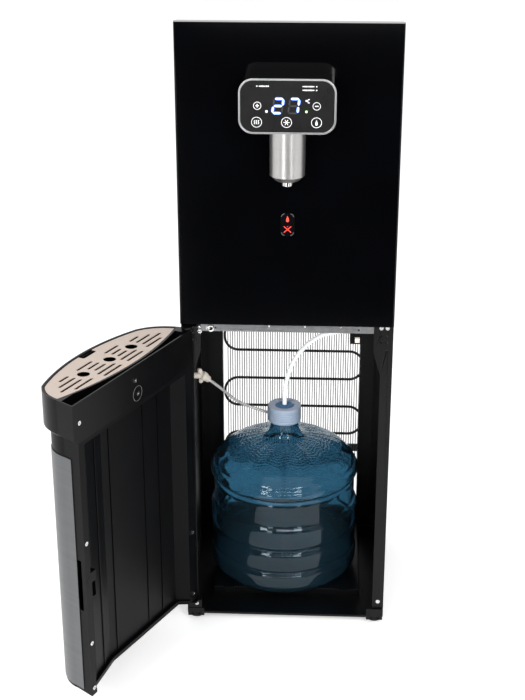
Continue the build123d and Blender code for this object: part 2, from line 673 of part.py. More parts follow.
MANIFOLD_Z = (SPOUT_BOTTOM + 17, SPOUT_BOTTOM + 51)
VALVE_XS = (-32.0, 0.0, 32.0)

with BuildPart() as valve_block:
    block((-48, 48), (FRONT + 14, FRONT + 44), MANIFOLD_Z)
    fillet(valve_block.edges().filter_by(Axis.Y), radius=4)
    with BuildSketch(facing_front(14, 0, SPOUT_BOTTOM + 34)):
        Circle(6)
    extrude(amount=4)
    for x in VALVE_XS:
        with BuildSketch(facing_front(44, x, sum(MANIFOLD_Z) / 2)):
            Circle(9)
        extrude(amount=-12)
        block((x - 12, x + 12), (FRONT + 56, FRONT + 86), (MANIFOLD_Z[0], MANIFOLD_Z[1]))
save(valve_block.part, "valve_block")

with BuildPart() as power_board:
    board_x = -DECK_HALF + 8
    low = DECK_Z + 40
    block((board_x, board_x + 1.6), (FRONT + 40, FRONT + 165), (low, low + 150))
    block((board_x + 1.6, board_x + 30), (FRONT + 60, FRONT + 95), (low + 20, low + 60))
    block((board_x + 1.6, board_x + 22), (FRONT + 110, FRONT + 150), (low + 80, low + 125))
    with BuildSketch(Plane(origin=(board_x + 1.6, FRONT + 75, low + 105), z_dir=(1, 0, 0))):
        with GridLocations(22, 26, 2, 2):
            Circle(8)
    extrude(amount=24)
save(power_board.part, "power_board")

with BuildPart() as internal_hoses:
    x, y, z = PUMP_PLACE
    top = z + PUMP_RADIUS + 14
    middle = sum(MANIFOLD_Z) / 2
    tube_along(
        [
            (x, y, top),
            (x, y, top + 34),
            (60, FRONT + 110, middle - 145),
            (20, FRONT + 118, middle - 75),
            (32, FRONT + 104, middle),
            (32, FRONT + 86, middle),
        ],
        3.5,
    )
save(internal_hoses.part, "internal_hoses")

# ---------------------------------------------------------------- condenser and refrigerant lines
CONDENSER_Y = FRONT + CONDENSER_IN
TUBE_RADIUS = CONDENSER_TUBE / 2

with BuildPart() as condenser_coil:
    turns = []
    for row in range(CONDENSER_ROWS):
        height = CONDENSER_BOTTOM + row * CONDENSER_PITCH
        start, stop = CONDENSER_SPAN if row % 2 else reversed(CONDENSER_SPAN)
        turns += [(start, CONDENSER_Y, height), (stop, CONDENSER_Y, height)]
    bends = [CONDENSER_PITCH * 0.45] * (len(turns) - 2)
    tube_along(turns, TUBE_RADIUS, bends)
save(condenser_coil.part, "condenser_coil")

WIRE_REACH = 12.0
DRIER_PLACE = (-12.0, FRONT + 312.0)
DRIER_RADIUS = 9.0

with BuildPart() as condenser_wires:
    count = int((CONDENSER_SPAN[1] - CONDENSER_SPAN[0] - 6) / WIRE_PITCH)
    top = CONDENSER_BOTTOM + (CONDENSER_ROWS - 1) * CONDENSER_PITCH
    wire_y = CONDENSER_Y - TUBE_RADIUS - WIRE_DIAMETER / 2 - 0.1
    with BuildSketch(Plane(origin=(sum(CONDENSER_SPAN) / 2, wire_y, CONDENSER_BOTTOM - WIRE_REACH))):
        with GridLocations(WIRE_PITCH, 0, count, 1):
            Circle(WIRE_DIAMETER / 2)
    extrude(amount=top - CONDENSER_BOTTOM + 2 * WIRE_REACH)
save(condenser_wires.part, "condenser_wires")

with BuildPart() as condenser_brackets:
    for side in (-1, 1):
        for height in (CONDENSER_BOTTOM + 18, CONDENSER_BOTTOM + 5.5 * CONDENSER_PITCH):
            span = sorted((side * (POST_INNER + 3), side * (POST_INNER + 25)))
            block(span, (BACK, BACK + 3), (height, height + 16))
            lug = sorted((side * (CONDENSER_SPAN[1] - 34), side * (POST_INNER + 25)))
            behind = (CONDENSER_Y + TUBE_RADIUS + 0.3, CONDENSER_Y + TUBE_RADIUS + 2)
            block(lug, behind, (height, height + 16))
            arm = sorted((side * (POST_INNER + 22), side * (POST_INNER + 25)))
            block(arm, (BACK, CONDENSER_Y + TUBE_RADIUS + 2), (height, height + 16))
save(condenser_brackets.part, "condenser_brackets")

with BuildPart() as refrigerant_lines:
    x, y = LINE_EXIT
    # discharge line down through the deck towards the condenser
    tube_along(
        [
            (x + 18, y, COMPRESSOR_BASE + 30),
            (x + 18, y, DECK_Z - 20),
            (x + 8, y, DECK_Z - 44),
            (x - 4, y, DECK_Z - 70),
        ],
        3.0,
    )
    # filter drier standing behind the compressor
    for above, radius, height in ((40, 3, 14), (54, DRIER_RADIUS, 84), (138, 3, 14)):
        with BuildSketch(Plane(origin=(*DRIER_PLACE, DECK_Z + above))):
            Circle(radius)
        extrude(amount=height)
save(refrigerant_lines.part, "refrigerant_lines")

# ---------------------------------------------------------------- rear connections
with BuildPart() as power_inlet:
    x, z = INLET_PLACE
    wide, tall = INLET_BODY
    block((x - wide / 2, x + wide / 2), (BACK - 22, BACK), (z - tall / 2, z + tall / 2))
    block((x - wide / 2 - 4, x + wide / 2 + 4), (BACK, BACK + 2.5), (z - tall / 2 - 3.5, z + tall / 2 + 3.5))
    block((x - 14, x + 14), (BACK - 14, BACK + 2.5), (z - 9, z + 9), Mode.SUBTRACT)
    for along in (-7, 0, 7):
        block((x + along - 1, x + along + 1), (BACK - 14, BACK), (z - 2, z + 3))
save(power_inlet.part, "power_inlet")

ROCKER_SIZE = (18.0, 12.0)

with BuildPart() as switch_frames:
    for height in ROCKER_ZS.values():
        wide, tall = ROCKER_BODY
        across = (ROCKER_X - wide / 2, ROCKER_X + wide / 2)
        block(across, (BACK - 18, BACK), (height - tall / 2, height + tall / 2))
        block((ROCKER_X - wide / 2 - 2, ROCKER_X + wide / 2 + 2), (BACK, BACK + 2),
              (height - tall / 2 - 2, height + tall / 2 + 2))
        wide, tall = ROCKER_SIZE
        block((ROCKER_X - wide / 2 - GAP, ROCKER_X + wide / 2 + GAP), (BACK - 10, BACK + 2),
              (height - tall / 2 - GAP, height + tall / 2 + GAP), Mode.SUBTRACT)
save(switch_frames.part, "switch_frames")



def make_rocker(label, height):
    """Rocker key, standing level in its frame, with a shallow valley across its face."""
    wide, tall = ROCKER_SIZE
    with BuildPart() as key:
        with BuildSketch(Plane(origin=(ROCKER_X, BACK, height - tall / 2))) as outline:
            Polygon((-wide / 2, -4), (wide / 2, -4), (wide / 2, 3.2), (0, 1.6), (-wide / 2, 3.2), align=None)
        extrude(amount=tall)
    save(key.part, label)


for name, height in ROCKER_ZS.items():
    make_rocker(f"rocker_{name}", height)

DRAIN_PLACE = (DRAIN_X, BACK, DRAIN_Z)

with BuildPart() as drain_spigot:
    with BuildSketch(Plane(origin=(DRAIN_PLACE[0], BACK - 30, DRAIN_PLACE[2]), z_dir=(0, 1, 0))):
        Circle(DRAIN_RADIUS)
        Circle(DRAIN_BORE, mode=Mode.SUBTRACT)
    extrude(amount=30 + DRAIN_REACH)
    with BuildSketch(Plane(origin=(DRAIN_PLACE[0], BACK, DRAIN_PLACE[2]), z_dir=(0, 1, 0))):
        Circle(DRAIN_RADIUS + 5)
        Circle(DRAIN_RADIUS - 0.5, mode=Mode.SUBTRACT)
    extrude(amount=3)
save(drain_spigot.part, "drain_spigot")

CAP_GRIP = 3.5
with BuildPart() as drain_cap:
    start = BACK + 3 + GAP
    with BuildSketch(Plane(origin=(DRAIN_PLACE[0], start, DRAIN_PLACE[2]), z_dir=(0, 1, 0))):
        Circle(DRAIN_RADIUS + CAP_GRIP)
        with PolarLocations(DRAIN_RADIUS + CAP_GRIP, 16):
            Circle(0.8, mode=Mode.SUBTRACT)
        Circle(DRAIN_RADIUS + PIN_CLEARANCE, mode=Mode.SUBTRACT)
    extrude(amount=DRAIN_REACH - 3)
    rim = (DRAIN_PLACE[0], start + DRAIN_REACH - 3, DRAIN_PLACE[2])
    with BuildSketch(Plane(origin=rim, z_dir=(0, 1, 0))):
        Circle(DRAIN_RADIUS + CAP_GRIP)
    extrude(amount=3)
    block((DRAIN_PLACE[0] - 9, DRAIN_PLACE[0] + 9), (start + DRAIN_REACH, start + DRAIN_REACH + 5),
          (DRAIN_PLACE[2] - 1.5, DRAIN_PLACE[2] + 1.5))
save(drain_cap.part, "drain_cap")

# ---------------------------------------------------------------- hinges and door switch
PIN_REACH = 16.0
HINGE_HALF = 9.0


def make_hinge(label, height, toward):
    """Bracket on the left front flange, its tongue carrying a pin towards the door."""
    left = -WIDTH / 2 + 2
    right = PIVOT_X + HINGE_HALF + 6
    leg = (DOOR_TOP + GAP, BAY_TOP - GAP) if toward < 0 else (HINGE_FOOT, height + HINGE_PLATE)
    with BuildPart() as hinge:
        block((left, right), (FLANGE_Y - HINGE_PLATE, FLANGE_Y), leg)
        block((left, right), (PIVOT_Y, FLANGE_Y - HINGE_PLATE), (height, height + HINGE_PLATE))
        with BuildSketch(Plane(origin=(PIVOT_X, PIVOT_Y, height))):
            Circle(HINGE_HALF)
        extrude(amount=HINGE_PLATE)
        start = height if toward < 0 else height + HINGE_PLATE
        with BuildSketch(Plane(origin=(PIVOT_X, PIVOT_Y, start))):
            Circle(PIN_RADIUS)
        extrude(amount=toward * (PIN_REACH + 4))
    save(hinge.part, label)


make_hinge("hinge_top", TONGUE_Z[0], -1)
make_hinge("hinge_bottom", TONGUE_Z[1], 1)

SWITCH_X = WIDTH / 2 - 59
SWITCH_Z = (538.0, 560.0)
PLUNGER_TRAVEL = 3.0

with BuildPart() as door_switch:
    low, high = SWITCH_Z
    block((SWITCH_X - 12, SWITCH_X + 12), (FLANGE_Y + 8, FLANGE_Y + 30), (low, high))
    bore = (SWITCH_X - 4.3, SWITCH_X + 4.3)
    block(bore, (FLANGE_Y + 7, FLANGE_Y + 24), (low + 4, low + 12.6), Mode.SUBTRACT)
save(door_switch.part, "door_switch")

with BuildPart() as door_switch_plunger:
    low = SWITCH_Z[0]
    block((SWITCH_X - 4, SWITCH_X + 4), (FLANGE_Y + 2, FLANGE_Y + 18), (low + 4.3, low + 12.3))
    fillet(door_switch_plunger.edges().group_by(Axis.Y)[0], radius=1.5)
save(door_switch_plunger.part, "door_switch_plunger")

# ---------------------------------------------------------------- door outline
FREE_EDGE = WIDTH - 18  # along the door, from the hinge axis
HINGE_EDGE = -8.0
MIDDLE = FREE_EDGE / 2


def door_outline(inset=0.0):
    """Closed D-shaped outline of the door: flat inside, bowed outside, drawn in by inset."""
    with BuildSketch(mode=Mode.PRIVATE) as outline:
        with BuildLine():
            inner_left = (HINGE_EDGE + 0.1 * inset, DOOR_INNER)
            nose = (HINGE_EDGE + 0.1 * inset, -10)
            left_corner = (7 + 0.8 * inset, -50 + 0.6 * inset)
            left_shoulder = (37 + 0.35 * inset, -76 + 0.93 * inset)
            right_shoulder = (FREE_EDGE - 39 - 0.35 * inset, -78 + 0.93 * inset)
            right_corner = (FREE_EDGE - 17 - 0.85 * inset, -56 + 0.5 * inset)
            tip = (FREE_EDGE - 8 - inset, -29 + 0.2 * inset)
            inner_right = (FREE_EDGE - inset, DOOR_INNER)
            Line(inner_left, nose)
            ThreePointArc(nose, left_corner, left_shoulder)
            ThreePointArc(left_shoulder, (MIDDLE, -98 + inset), right_shoulder)
            ThreePointArc(right_shoulder, right_corner, tip)
            Line(tip, inner_right)
            Line(inner_right, inner_left)
        make_face()
    return outline.sketch


def lens_outline():
    """Closed outline of the drip tray: the same bow outside, a shallow bow inside."""
    with BuildSketch(mode=Mode.PRIVATE) as outline:
        with BuildLine():
            left = (-1.5, -22)
            left_shoulder = (38, -73)
            right_shoulder = (FREE_EDGE - 40, -75)
            right = (FREE_EDGE - 11.5, -29.5)
            ThreePointArc(left, (11, -49), left_shoulder)
            ThreePointArc(left_shoulder, (MIDDLE, -95), right_shoulder)
            ThreePointArc(right_shoulder, (FREE_EDGE - 20, -55), right)
            ThreePointArc(right, (MIDDLE - 6, -3.5), left)
        make_face()
    return outline.sketch


DOOR_OUTLINE = door_outline()
LENS_OUTLINE = lens_outline()
HOUSING_HOLLOW = offset(DOOR_OUTLINE, -HOUSING_WALL, kind=Kind.INTERSECTION)
LENS_RIM = offset(LENS_OUTLINE, HOUSING_WALL)
BUSH_RADIUS = RUNNING_RADIUS + BUSH_WALL
BUSH_LENGTH = 18.0


LOWER_OUTLINE = door_outline(OVERHANG)
LINER_OUTLINE = door_outline(OVERHANG + SKIN)
LOWER_HOLLOW = offset(LOWER_OUTLINE, -HOUSING_WALL, kind=Kind.INTERSECTION)

# ---------------------------------------------------------------- door housing and drip tray
POCKET_DEPTH = BASIN_DEPTH + GAP
HOUSING_FLOOR = DOOR_TOP - POCKET_DEPTH - 3.0
TRIANGLE_DEPTH = 14.0
CHAMFER_TOP = HOUSING_BOTTOM + OVERHANG

with BuildPart() as door_housing:
    with BuildSketch(door_level(HOUSING_BOTTOM)):
        add(LOWER_OUTLINE)
    with BuildSketch(door_level(CHAMFER_TOP)):
        add(DOOR_OUTLINE)
    loft(ruled=True)
    with BuildSketch(door_level(CHAMFER_TOP)):
        add(DOOR_OUTLINE)
    extrude(amount=DOOR_TOP - CHAMFER_TOP)
    with BuildSketch(door_level(DOOR_TOP - POCKET_DEPTH)):
        add(LENS_OUTLINE)
    extrude(amount=POCKET_DEPTH, mode=Mode.SUBTRACT)
    # open corners between the tray's inner bow and the flat inner wall
    with BuildSketch(door_level(DOOR_TOP - TRIANGLE_DEPTH)):
        add(HOUSING_HOLLOW)
        add(LENS_RIM, mode=Mode.SUBTRACT)
        with Locations((FREE_EDGE / 2, -65)):
            Rectangle(FREE_EDGE + 60, 90, mode=Mode.SUBTRACT)
        Rectangle(2 * BUSH_RADIUS + 12, 80, mode=Mode.SUBTRACT)
    extrude(amount=TRIANGLE_DEPTH, mode=Mode.SUBTRACT)
    # hollow below the floor, down to the lower door
    with BuildSketch(door_level(CHAMFER_TOP)):
        add(HOUSING_HOLLOW)
    extrude(amount=HOUSING_FLOOR - CHAMFER_TOP, mode=Mode.SUBTRACT)
    with BuildSketch(door_level(HOUSING_BOTTOM)):
        add(LOWER_HOLLOW)
    extrude(amount=OVERHANG, mode=Mode.SUBTRACT)
    with BuildSketch(door_level(DOOR_TOP - BUSH_LENGTH)):
        Circle(BUSH_RADIUS)
    extrude(amount=BUSH_LENGTH, mode=Mode.SUBTRACT)
save(door_housing.part, "door_housing")

# ---------------------------------------------------------------- lower door
RECESS_POINTS = [
    (16, 6),
    (30, -17),
    (150, -21),
    (FREE_EDGE - 107, -24),
    (FREE_EDGE - 26, -9),
    (FREE_EDGE - 23, 6),
]
RECESS_Z = (DOOR_BOTTOM + LINER_END, HOUSING_BOTTOM - LINER_END)
SKIN_BOTTOM = DOOR_BOTTOM + 5.0
NOTCH_SPAN = (168.0, 226.0)
NOTCH_DEPTH = 7.0
LIP = 6.0  # bottom edge of the liner, in front of the recess
GRIP_Z = (208.0, 298.0)
GRIP_DEPTH = 9.0
RIB_XS = (70.0, 112.0, 205.0, FREE_EDGE - 82, FREE_EDGE - 47)
LATCH_HEIGHT = 248.0


def recess_outline():
    """Outline of the recess in the liner's inner face, seen from above."""
    with BuildSketch(mode=Mode.PRIVATE) as outline:
        Polygon(*RECESS_POINTS, align=None)
    return outline.sketch


RECESS = recess_outline()
RECESS_SHELL = offset(RECESS, LINER_WALL, kind=Kind.INTERSECTION)
LINER_HOLLOW = offset(LINER_OUTLINE, -LINER_WALL, kind=Kind.INTERSECTION)

with BuildPart() as door_liner:
    with BuildSketch(door_level(DOOR_BOTTOM)):
        add(LINER_OUTLINE)
    extrude(amount=HOUSING_BOTTOM - DOOR_BOTTOM)
    # closed hollow behind the recess, then the recess itself
    with BuildSketch(door_level(RECESS_Z[0] - 3)):
        add(LINER_HOLLOW)
        add(RECESS_SHELL, mode=Mode.SUBTRACT)
        Rectangle(2 * BUSH_RADIUS + 8, 60, mode=Mode.SUBTRACT)
    extrude(amount=RECESS_Z[1] - RECESS_Z[0] + 6, mode=Mode.SUBTRACT)
    with BuildSketch(door_level(RECESS_Z[0])):
        add(RECESS)
    extrude(amount=RECESS_Z[1] - RECESS_Z[0], mode=Mode.SUBTRACT)
    # upright stiffening ribs on the recess floor
    for x in RIB_XS:
        share = (x - RECESS_POINTS[1][0]) / (RECESS_POINTS[3][0] - RECESS_POINTS[1][0])
        floor = RECESS_POINTS[1][1] + min(share, 1) * (RECESS_POINTS[3][1] - RECESS_POINTS[1][1])
        if share > 1:
            rest = (x - RECESS_POINTS[3][0]) / (RECESS_POINTS[4][0] - RECESS_POINTS[3][0])
            floor = RECESS_POINTS[3][1] + rest * (RECESS_POINTS[4][1] - RECESS_POINTS[3][1])
        with BuildSketch(door_level(RECESS_Z[0])):
            with Locations((x, floor)):
                Rectangle(2.4, 3.0)
        extrude(amount=RECESS_Z[1] - RECESS_Z[0])
    # step in the bottom edge, finger grip in the free edge, bores for the bushes
    with BuildSketch(door_level(DOOR_BOTTOM)):
        add(RECESS.moved(Location((0, LIP, 0))))
        with Locations((sum(NOTCH_SPAN) / 2, LIP - 2 * NOTCH_DEPTH)):
            Rectangle(NOTCH_SPAN[1] - NOTCH_SPAN[0], 2 * NOTCH_DEPTH)
    extrude(amount=LINER_END, mode=Mode.SUBTRACT)
    with BuildSketch(door_level(GRIP_Z[0])):
        with Locations((FREE_EDGE - OVERHANG - 2, -8)):
            Rectangle(2 * GRIP_DEPTH, 9)
    extrude(amount=GRIP_Z[1] - GRIP_Z[0], mode=Mode.SUBTRACT)
    with BuildSketch(door_level(DOOR_BOTTOM)):
        Circle(BUSH_RADIUS)
    extrude(amount=BUSH_LENGTH, mode=Mode.SUBTRACT)
    # latch box in the recess's outer corner, with its window
    with BuildSketch(door_level(LATCH_HEIGHT - 25)):
        with Locations((FREE_EDGE, 0)):
            Polygon((-20, 4.5), (-20, -9), (-38, -13), (-38, 4.5), align=None)
    extrude(amount=50)
    with BuildSketch(facing_inside(FREE_EDGE - 31, 4.5, LATCH_HEIGHT - 6)):
        Rectangle(9, 26)
    extrude(amount=-8, mode=Mode.SUBTRACT)
save(door_liner.part, "door_liner")

with BuildPart() as door_skin:
    with BuildSketch(door_level(SKIN_BOTTOM)):
        add(LOWER_OUTLINE)
        add(LINER_OUTLINE, mode=Mode.SUBTRACT)
        with Locations((FREE_EDGE / 2, SKIN_EDGE + 50)):
            Rectangle(2 * FREE_EDGE, 100, mode=Mode.SUBTRACT)
    extrude(amount=SKIN_TOP - SKIN_BOTTOM)
save(door_skin.part, "door_skin")

with BuildPart() as hinge_bushes:
    for start in (DOOR_BOTTOM, DOOR_TOP - BUSH_LENGTH):
        with BuildSketch(door_level(start)):
            Circle(BUSH_RADIUS)
            Circle(RUNNING_RADIUS, mode=Mode.SUBTRACT)
        extrude(amount=BUSH_LENGTH)
save(hinge_bushes.part, "hinge_bushes")

DOOR_SCREWS = [
    (FREE_EDGE - 15.5, 330.0),
    (FREE_EDGE - 15.5, 150.0),
    (FREE_EDGE - 15.5, 66.0),
    (4.0, 190.0),
    (4.0, 66.0),
    (FREE_EDGE - 14, 535.0),
    (MIDDLE, 543.0),
    (MIDDLE - 6, 519.0),
]

with BuildPart() as door_screws:
    for along, height in DOOR_SCREWS:
        screw_at(facing_inside(along, DOOR_INNER, height), head=1.6)
save(door_screws.part, "door_screws")

# ---------------------------------------------------------------- drip basin and grille
BASIN_OUTLINE = offset(LENS_OUTLINE, -GAP)
BASIN_INSIDE = offset(LENS_OUTLINE, -GAP - BASIN_WALL)
GRILLE_OUTLINE = offset(LENS_OUTLINE, -GRILLE_INSET)
LEDGE_INSIDE = offset(LENS_OUTLINE, -GRILLE_INSET - 3)
BASIN_TOP = DOOR_TOP - 0.5
LEDGE_Z = BASIN_TOP - GRILLE_THICKNESS - 0.6

with BuildPart() as drip_basin:
    with BuildSketch(door_level(BASIN_TOP - BASIN_DEPTH + 1)):
        add(BASIN_OUTLINE)
    extrude(amount=BASIN_DEPTH - 1)
    with BuildSketch(door_level(LEDGE_Z)):
        add(BASIN_INSIDE)
    extrude(amount=BASIN_TOP - LEDGE_Z, mode=Mode.SUBTRACT)
    with BuildSketch(door_level(BASIN_TOP - BASIN_DEPTH + 1 + BASIN_WALL)):
        add(LEDGE_INSIDE)
    extrude(amount=LEDGE_Z - BASIN_TOP + BASIN_DEPTH - 1 - BASIN_WALL, mode=Mode.SUBTRACT)
save(drip_basin.part, "drip_basin")

SLOT_ROWS = {  # distance out from the hinge line: slots as (start, end) along the door
    18.0: [(105, 151), (166, 215)],
    22.0: [(43, 89)],
    28.0: [(231, 278)],
    29.5: [(106, 152), (167, 216)],
    33.5: [(27, 82)],
    40.5: [(242, 297)],
    41.5: [(115, 142), (176, 206)],
    45.5: [(41, 82)],
    52.5: [(242, 284)],
    53.5: [(114, 141), (176, 207)],
    57.5: [(57, 83)],
    64.5: [(242, 267)],
    65.5: [(104, 142), (177, 219)],
}
DRAIN_HOLES = [(99, 44), (158, 46), (225, 49)]
GRILLE_STRETCH = FREE_EDGE / 332.0  # the pattern is set out on a 332 mm door
LIFT_NOTCH = (140.0, 176.0)

with BuildPart() as drip_grille:
    with BuildSketch(door_level(LEDGE_Z + 0.3)):
        add(GRILLE_OUTLINE)
        for out, slots in SLOT_ROWS.items():
            for start, end in slots:
                with Locations((GRILLE_STRETCH * (start + end) / 2, -out)):
                    SlotOverall(end - start, SLOT_WIDTH, mode=Mode.SUBTRACT)
        for along, out in DRAIN_HOLES:
            with Locations((GRILLE_STRETCH * along, -out)):
                Circle(DRAIN_HOLE_RADIUS, mode=Mode.SUBTRACT)
        with Locations((sum(LIFT_NOTCH) / 2, -90)):
            RectangleRounded(LIFT_NOTCH[1] - LIFT_NOTCH[0], 16, 4, mode=Mode.SUBTRACT)
    extrude(amount=GRILLE_THICKNESS)
save(drip_grille.part, "drip_grille")

# ---------------------------------------------------------------- bottle, cap and dip tube
NECK_TOP = CAP_TOP - CAP_WALL - SEAL_THICKNESS - GAP
BOTTLE_STEPS = [  # height above the base and depth in from the full radius, base upwards
    (0, 23), (9, 8), (18, 1), (38, 0), (43, 0), (47, 5), (50, 5), (54, 2), (84, 2), (89, 7),
    (94, 7), (101, 0), (135, 0), (143, 6), (182, 6), (186, 8), (191, 8), (198, 0), (220, 0), (236, 6),
]  # fmt: skip


def bottle_half():
    """Half profile of the bottle as (radius, height), from the base centre up to the neck."""
    points = [(0.0, BOTTLE_Z)]
    points += [(BOTTLE_RADIUS - inward, BOTTLE_Z + up) for up, inward in BOTTLE_STEPS]
    points += [
        (BOTTLE_RADIUS - 20, SHOULDER_Z - 20),
        (BOTTLE_RADIUS - 48, SHOULDER_Z - 9),
        (BOTTLE_RADIUS - 84, SHOULDER_Z - 2),
        (NECK_RADIUS + 8, SHOULDER_Z + 2),
        (NECK_RADIUS + 1, SHOULDER_Z + 8),
        (NECK_RADIUS, SHOULDER_Z + 16),
        (NECK_RADIUS, NECK_TOP),
    ]
    return points


def drawn_in(points, wall):
    """The same open run of corners moved in square to its sides by the wall."""
    moved = [(0.0, points[0][1] + wall)]
    for before, corner, after in zip(points, points[1:], points[2:]):
        into = Vector(corner[0] - before[0], corner[1] - before[1]).normalized()
        away = Vector(after[0] - corner[0], after[1] - corner[1]).normalized()
        square = Vector(-into.Y - away.Y, into.X + away.X).normalized()
        reach = wall / (square.X * -into.Y + square.Y * into.X)
        moved.append((corner[0] + square.X * reach, corner[1] + square.Y * reach))
    moved.append((points[-1][0] - wall, points[-1][1]))
    return moved


BOTTLE_HALF = bottle_half()

with BuildPart() as bottle:
    with BuildSketch(Plane(origin=(BOTTLE_X, BOTTLE_Y, 0), x_dir=(1, 0, 0), z_dir=(0, -1, 0))):
        Polygon(*BOTTLE_HALF, *reversed(drawn_in(BOTTLE_HALF, BOTTLE_WALL)), align=None)
    revolve(axis=Axis((BOTTLE_X, BOTTLE_Y, 0), (0, 0, 1)))
save(bottle.part, "bottle")

with BuildPart() as bottle_cap:
    with BuildSketch(Plane(origin=(BOTTLE_X, BOTTLE_Y, CAP_Z))):
        Circle(CAP_RADIUS)
    extrude(amount=CAP_HEIGHT)
    fillet(bottle_cap.edges().group_by(Axis.Z)[-1], radius=2)
    with BuildSketch(Plane(origin=(BOTTLE_X, BOTTLE_Y, CAP_Z))):
        Circle(NECK_RADIUS + 0.1)
    extrude(amount=NECK_TOP - CAP_Z + GAP, mode=Mode.SUBTRACT)
    with BuildSketch(Plane(origin=(BOTTLE_X, BOTTLE_Y, CAP_Z))):
        Circle(SEAL_RADIUS)
    extrude(amount=CAP_HEIGHT, mode=Mode.SUBTRACT)
    with BuildSketch(Plane(origin=VENT_START, z_dir=VENT_WAY)):
        Circle(VENT_DIAMETER / 2)
    extrude(amount=VENT_REACH + 1)
save(bottle_cap.part, "bottle_cap")

SEAL_Z = CAP_TOP - SEAL_THICKNESS - 1.5

with BuildPart() as cap_seal:
    with BuildSketch(Plane(origin=(BOTTLE_X, BOTTLE_Y, SEAL_Z))):
        Circle(SEAL_RADIUS)
    extrude(amount=SEAL_THICKNESS)
    with BuildSketch(Plane(origin=(BOTTLE_X, BOTTLE_Y, SEAL_Z + SEAL_THICKNESS))):
        Circle(SUPPLY_DIAMETER / 2)
    extrude(amount=BARB_TOP - SEAL_Z - SEAL_THICKNESS)
    with BuildSketch(Plane(origin=(BOTTLE_X, BOTTLE_Y, SEAL_Z))):
        Circle(DIP_BORE)
    extrude(amount=2 * SEAL_THICKNESS, mode=Mode.SUBTRACT)
save(cap_seal.part, "cap_seal")

DIP_BOTTOM = BOTTLE_Z + BOTTLE_WALL + 8.0

with BuildPart() as dip_tube:
    with BuildSketch(Plane(origin=(BOTTLE_X, BOTTLE_Y, DIP_BOTTOM))):
        Circle(DIP_RADIUS)
        Circle(DIP_BORE, mode=Mode.SUBTRACT)
    extrude(amount=SEAL_Z - DIP_BOTTOM)
save(dip_tube.part, "dip_tube")

# ---------------------------------------------------------------- hoses in the bottle bay
def make_hose(label, points, diameter):
    """Plain round bar along a hose's route, with its length and bend radii printed."""
    with BuildPart() as hose:
        tube_along(points, diameter / 2)
    save(hose.part, label)
    length = hose.part.volume / (math.pi * diameter**2 / 4)
    print(label, "length", round(length), "bend radii", [round(r) for r in bend_radii(points)])


make_hose("supply_hose", SUPPLY_POINTS, SUPPLY_DIAMETER)
make_hose("vent_hose", VENT_POINTS, VENT_DIAMETER)


def add_elbow(tip, inward, radius, leg):
    """Elbow fitting in the open BuildPart: a barb that meets a hose end, then a straight leg."""
    corner = tip + inward * ELBOW_REACH
    with BuildSketch(Plane(origin=tip, z_dir=inward)) as barb:
        Circle(radius)
    extrude(barb.sketch, amount=ELBOW_REACH)
    with BuildSketch(Plane(origin=corner, z_dir=leg)) as stem:
        Circle(radius + 1.5)
    extrude(stem.sketch, amount=leg.length)
    with Locations(corner):
        Sphere(radius + 1.5)


PUMP_PORT = PUMP_PLACE[2] - PUMP_RADIUS - 8
VENT_BACK = leading_out(VENT_POINTS[0], VENT_POINTS[1])
VENT_CORNER = VENT_POINTS[0] + VENT_BACK * ELBOW_REACH

with BuildPart() as hose_elbows:
    up_to_pump = Vector(0, 0, PUMP_PORT - SUPPLY_CORNER.Z)
    out_to_wall = Vector(-INNER_HALF - VENT_CORNER.X, 0, 0)
    add_elbow(SUPPLY_POINTS[-1], SUPPLY_WAY, SUPPLY_DIAMETER / 2 + 1, up_to_pump)
    add_elbow(VENT_POINTS[0], VENT_BACK, VENT_DIAMETER / 2 + 1.5, out_to_wall)
save(hose_elbows.part, "hose_elbows")

# ---------------------------------------------------------------- cabinet screws
with BuildPart() as cabinet_screws:
    screw_at(facing_front(SETBACK, WIDTH / 2 - 10, 571))
    screw_at(facing_front(SETBACK, WIDTH / 2 - 20, 571))
    screw_at(facing_front(SETBACK, WIDTH / 2 - 10, 46))
    screw_at(facing_front(SETBACK - HINGE_PLATE, PIVOT_X + 6, TONGUE_Z[1] - 10), head=1.6)
    screw_at(facing_front(SETBACK, PIVOT_X + 20, 560), head=1.8)
    screw_at(facing_front(SETBACK, -CROSSBAR_HALF + 12, 566), head=1.8)
save(cabinet_screws.part, "cabinet_screws")
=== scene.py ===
"""Looks of the floor-standing water dispenser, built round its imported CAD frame.

Everything is in metres in the frame's own axes: Z up, the user stands towards -Y, X to their right.
Names ending in MM are millimetres, for the small artwork and trim.
"""

import json
import math

import bpy
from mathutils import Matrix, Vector


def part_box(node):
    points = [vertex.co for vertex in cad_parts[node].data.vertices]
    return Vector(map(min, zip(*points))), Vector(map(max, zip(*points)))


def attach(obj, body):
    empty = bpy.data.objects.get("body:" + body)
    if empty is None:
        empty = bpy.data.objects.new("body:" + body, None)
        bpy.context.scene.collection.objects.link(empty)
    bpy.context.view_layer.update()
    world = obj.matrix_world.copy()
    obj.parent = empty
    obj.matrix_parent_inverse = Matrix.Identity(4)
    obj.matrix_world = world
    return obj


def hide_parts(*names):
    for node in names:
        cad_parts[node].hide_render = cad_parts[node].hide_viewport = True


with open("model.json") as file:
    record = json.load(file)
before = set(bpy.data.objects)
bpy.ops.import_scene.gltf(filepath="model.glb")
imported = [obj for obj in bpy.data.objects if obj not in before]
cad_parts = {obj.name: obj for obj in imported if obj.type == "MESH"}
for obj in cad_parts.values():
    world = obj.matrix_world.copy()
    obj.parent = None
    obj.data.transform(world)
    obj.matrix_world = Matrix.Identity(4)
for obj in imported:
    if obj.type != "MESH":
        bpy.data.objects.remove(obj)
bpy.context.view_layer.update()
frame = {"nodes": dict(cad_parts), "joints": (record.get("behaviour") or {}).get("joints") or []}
nodes = frame["nodes"]
scene = bpy.context.scene
MM = 0.001

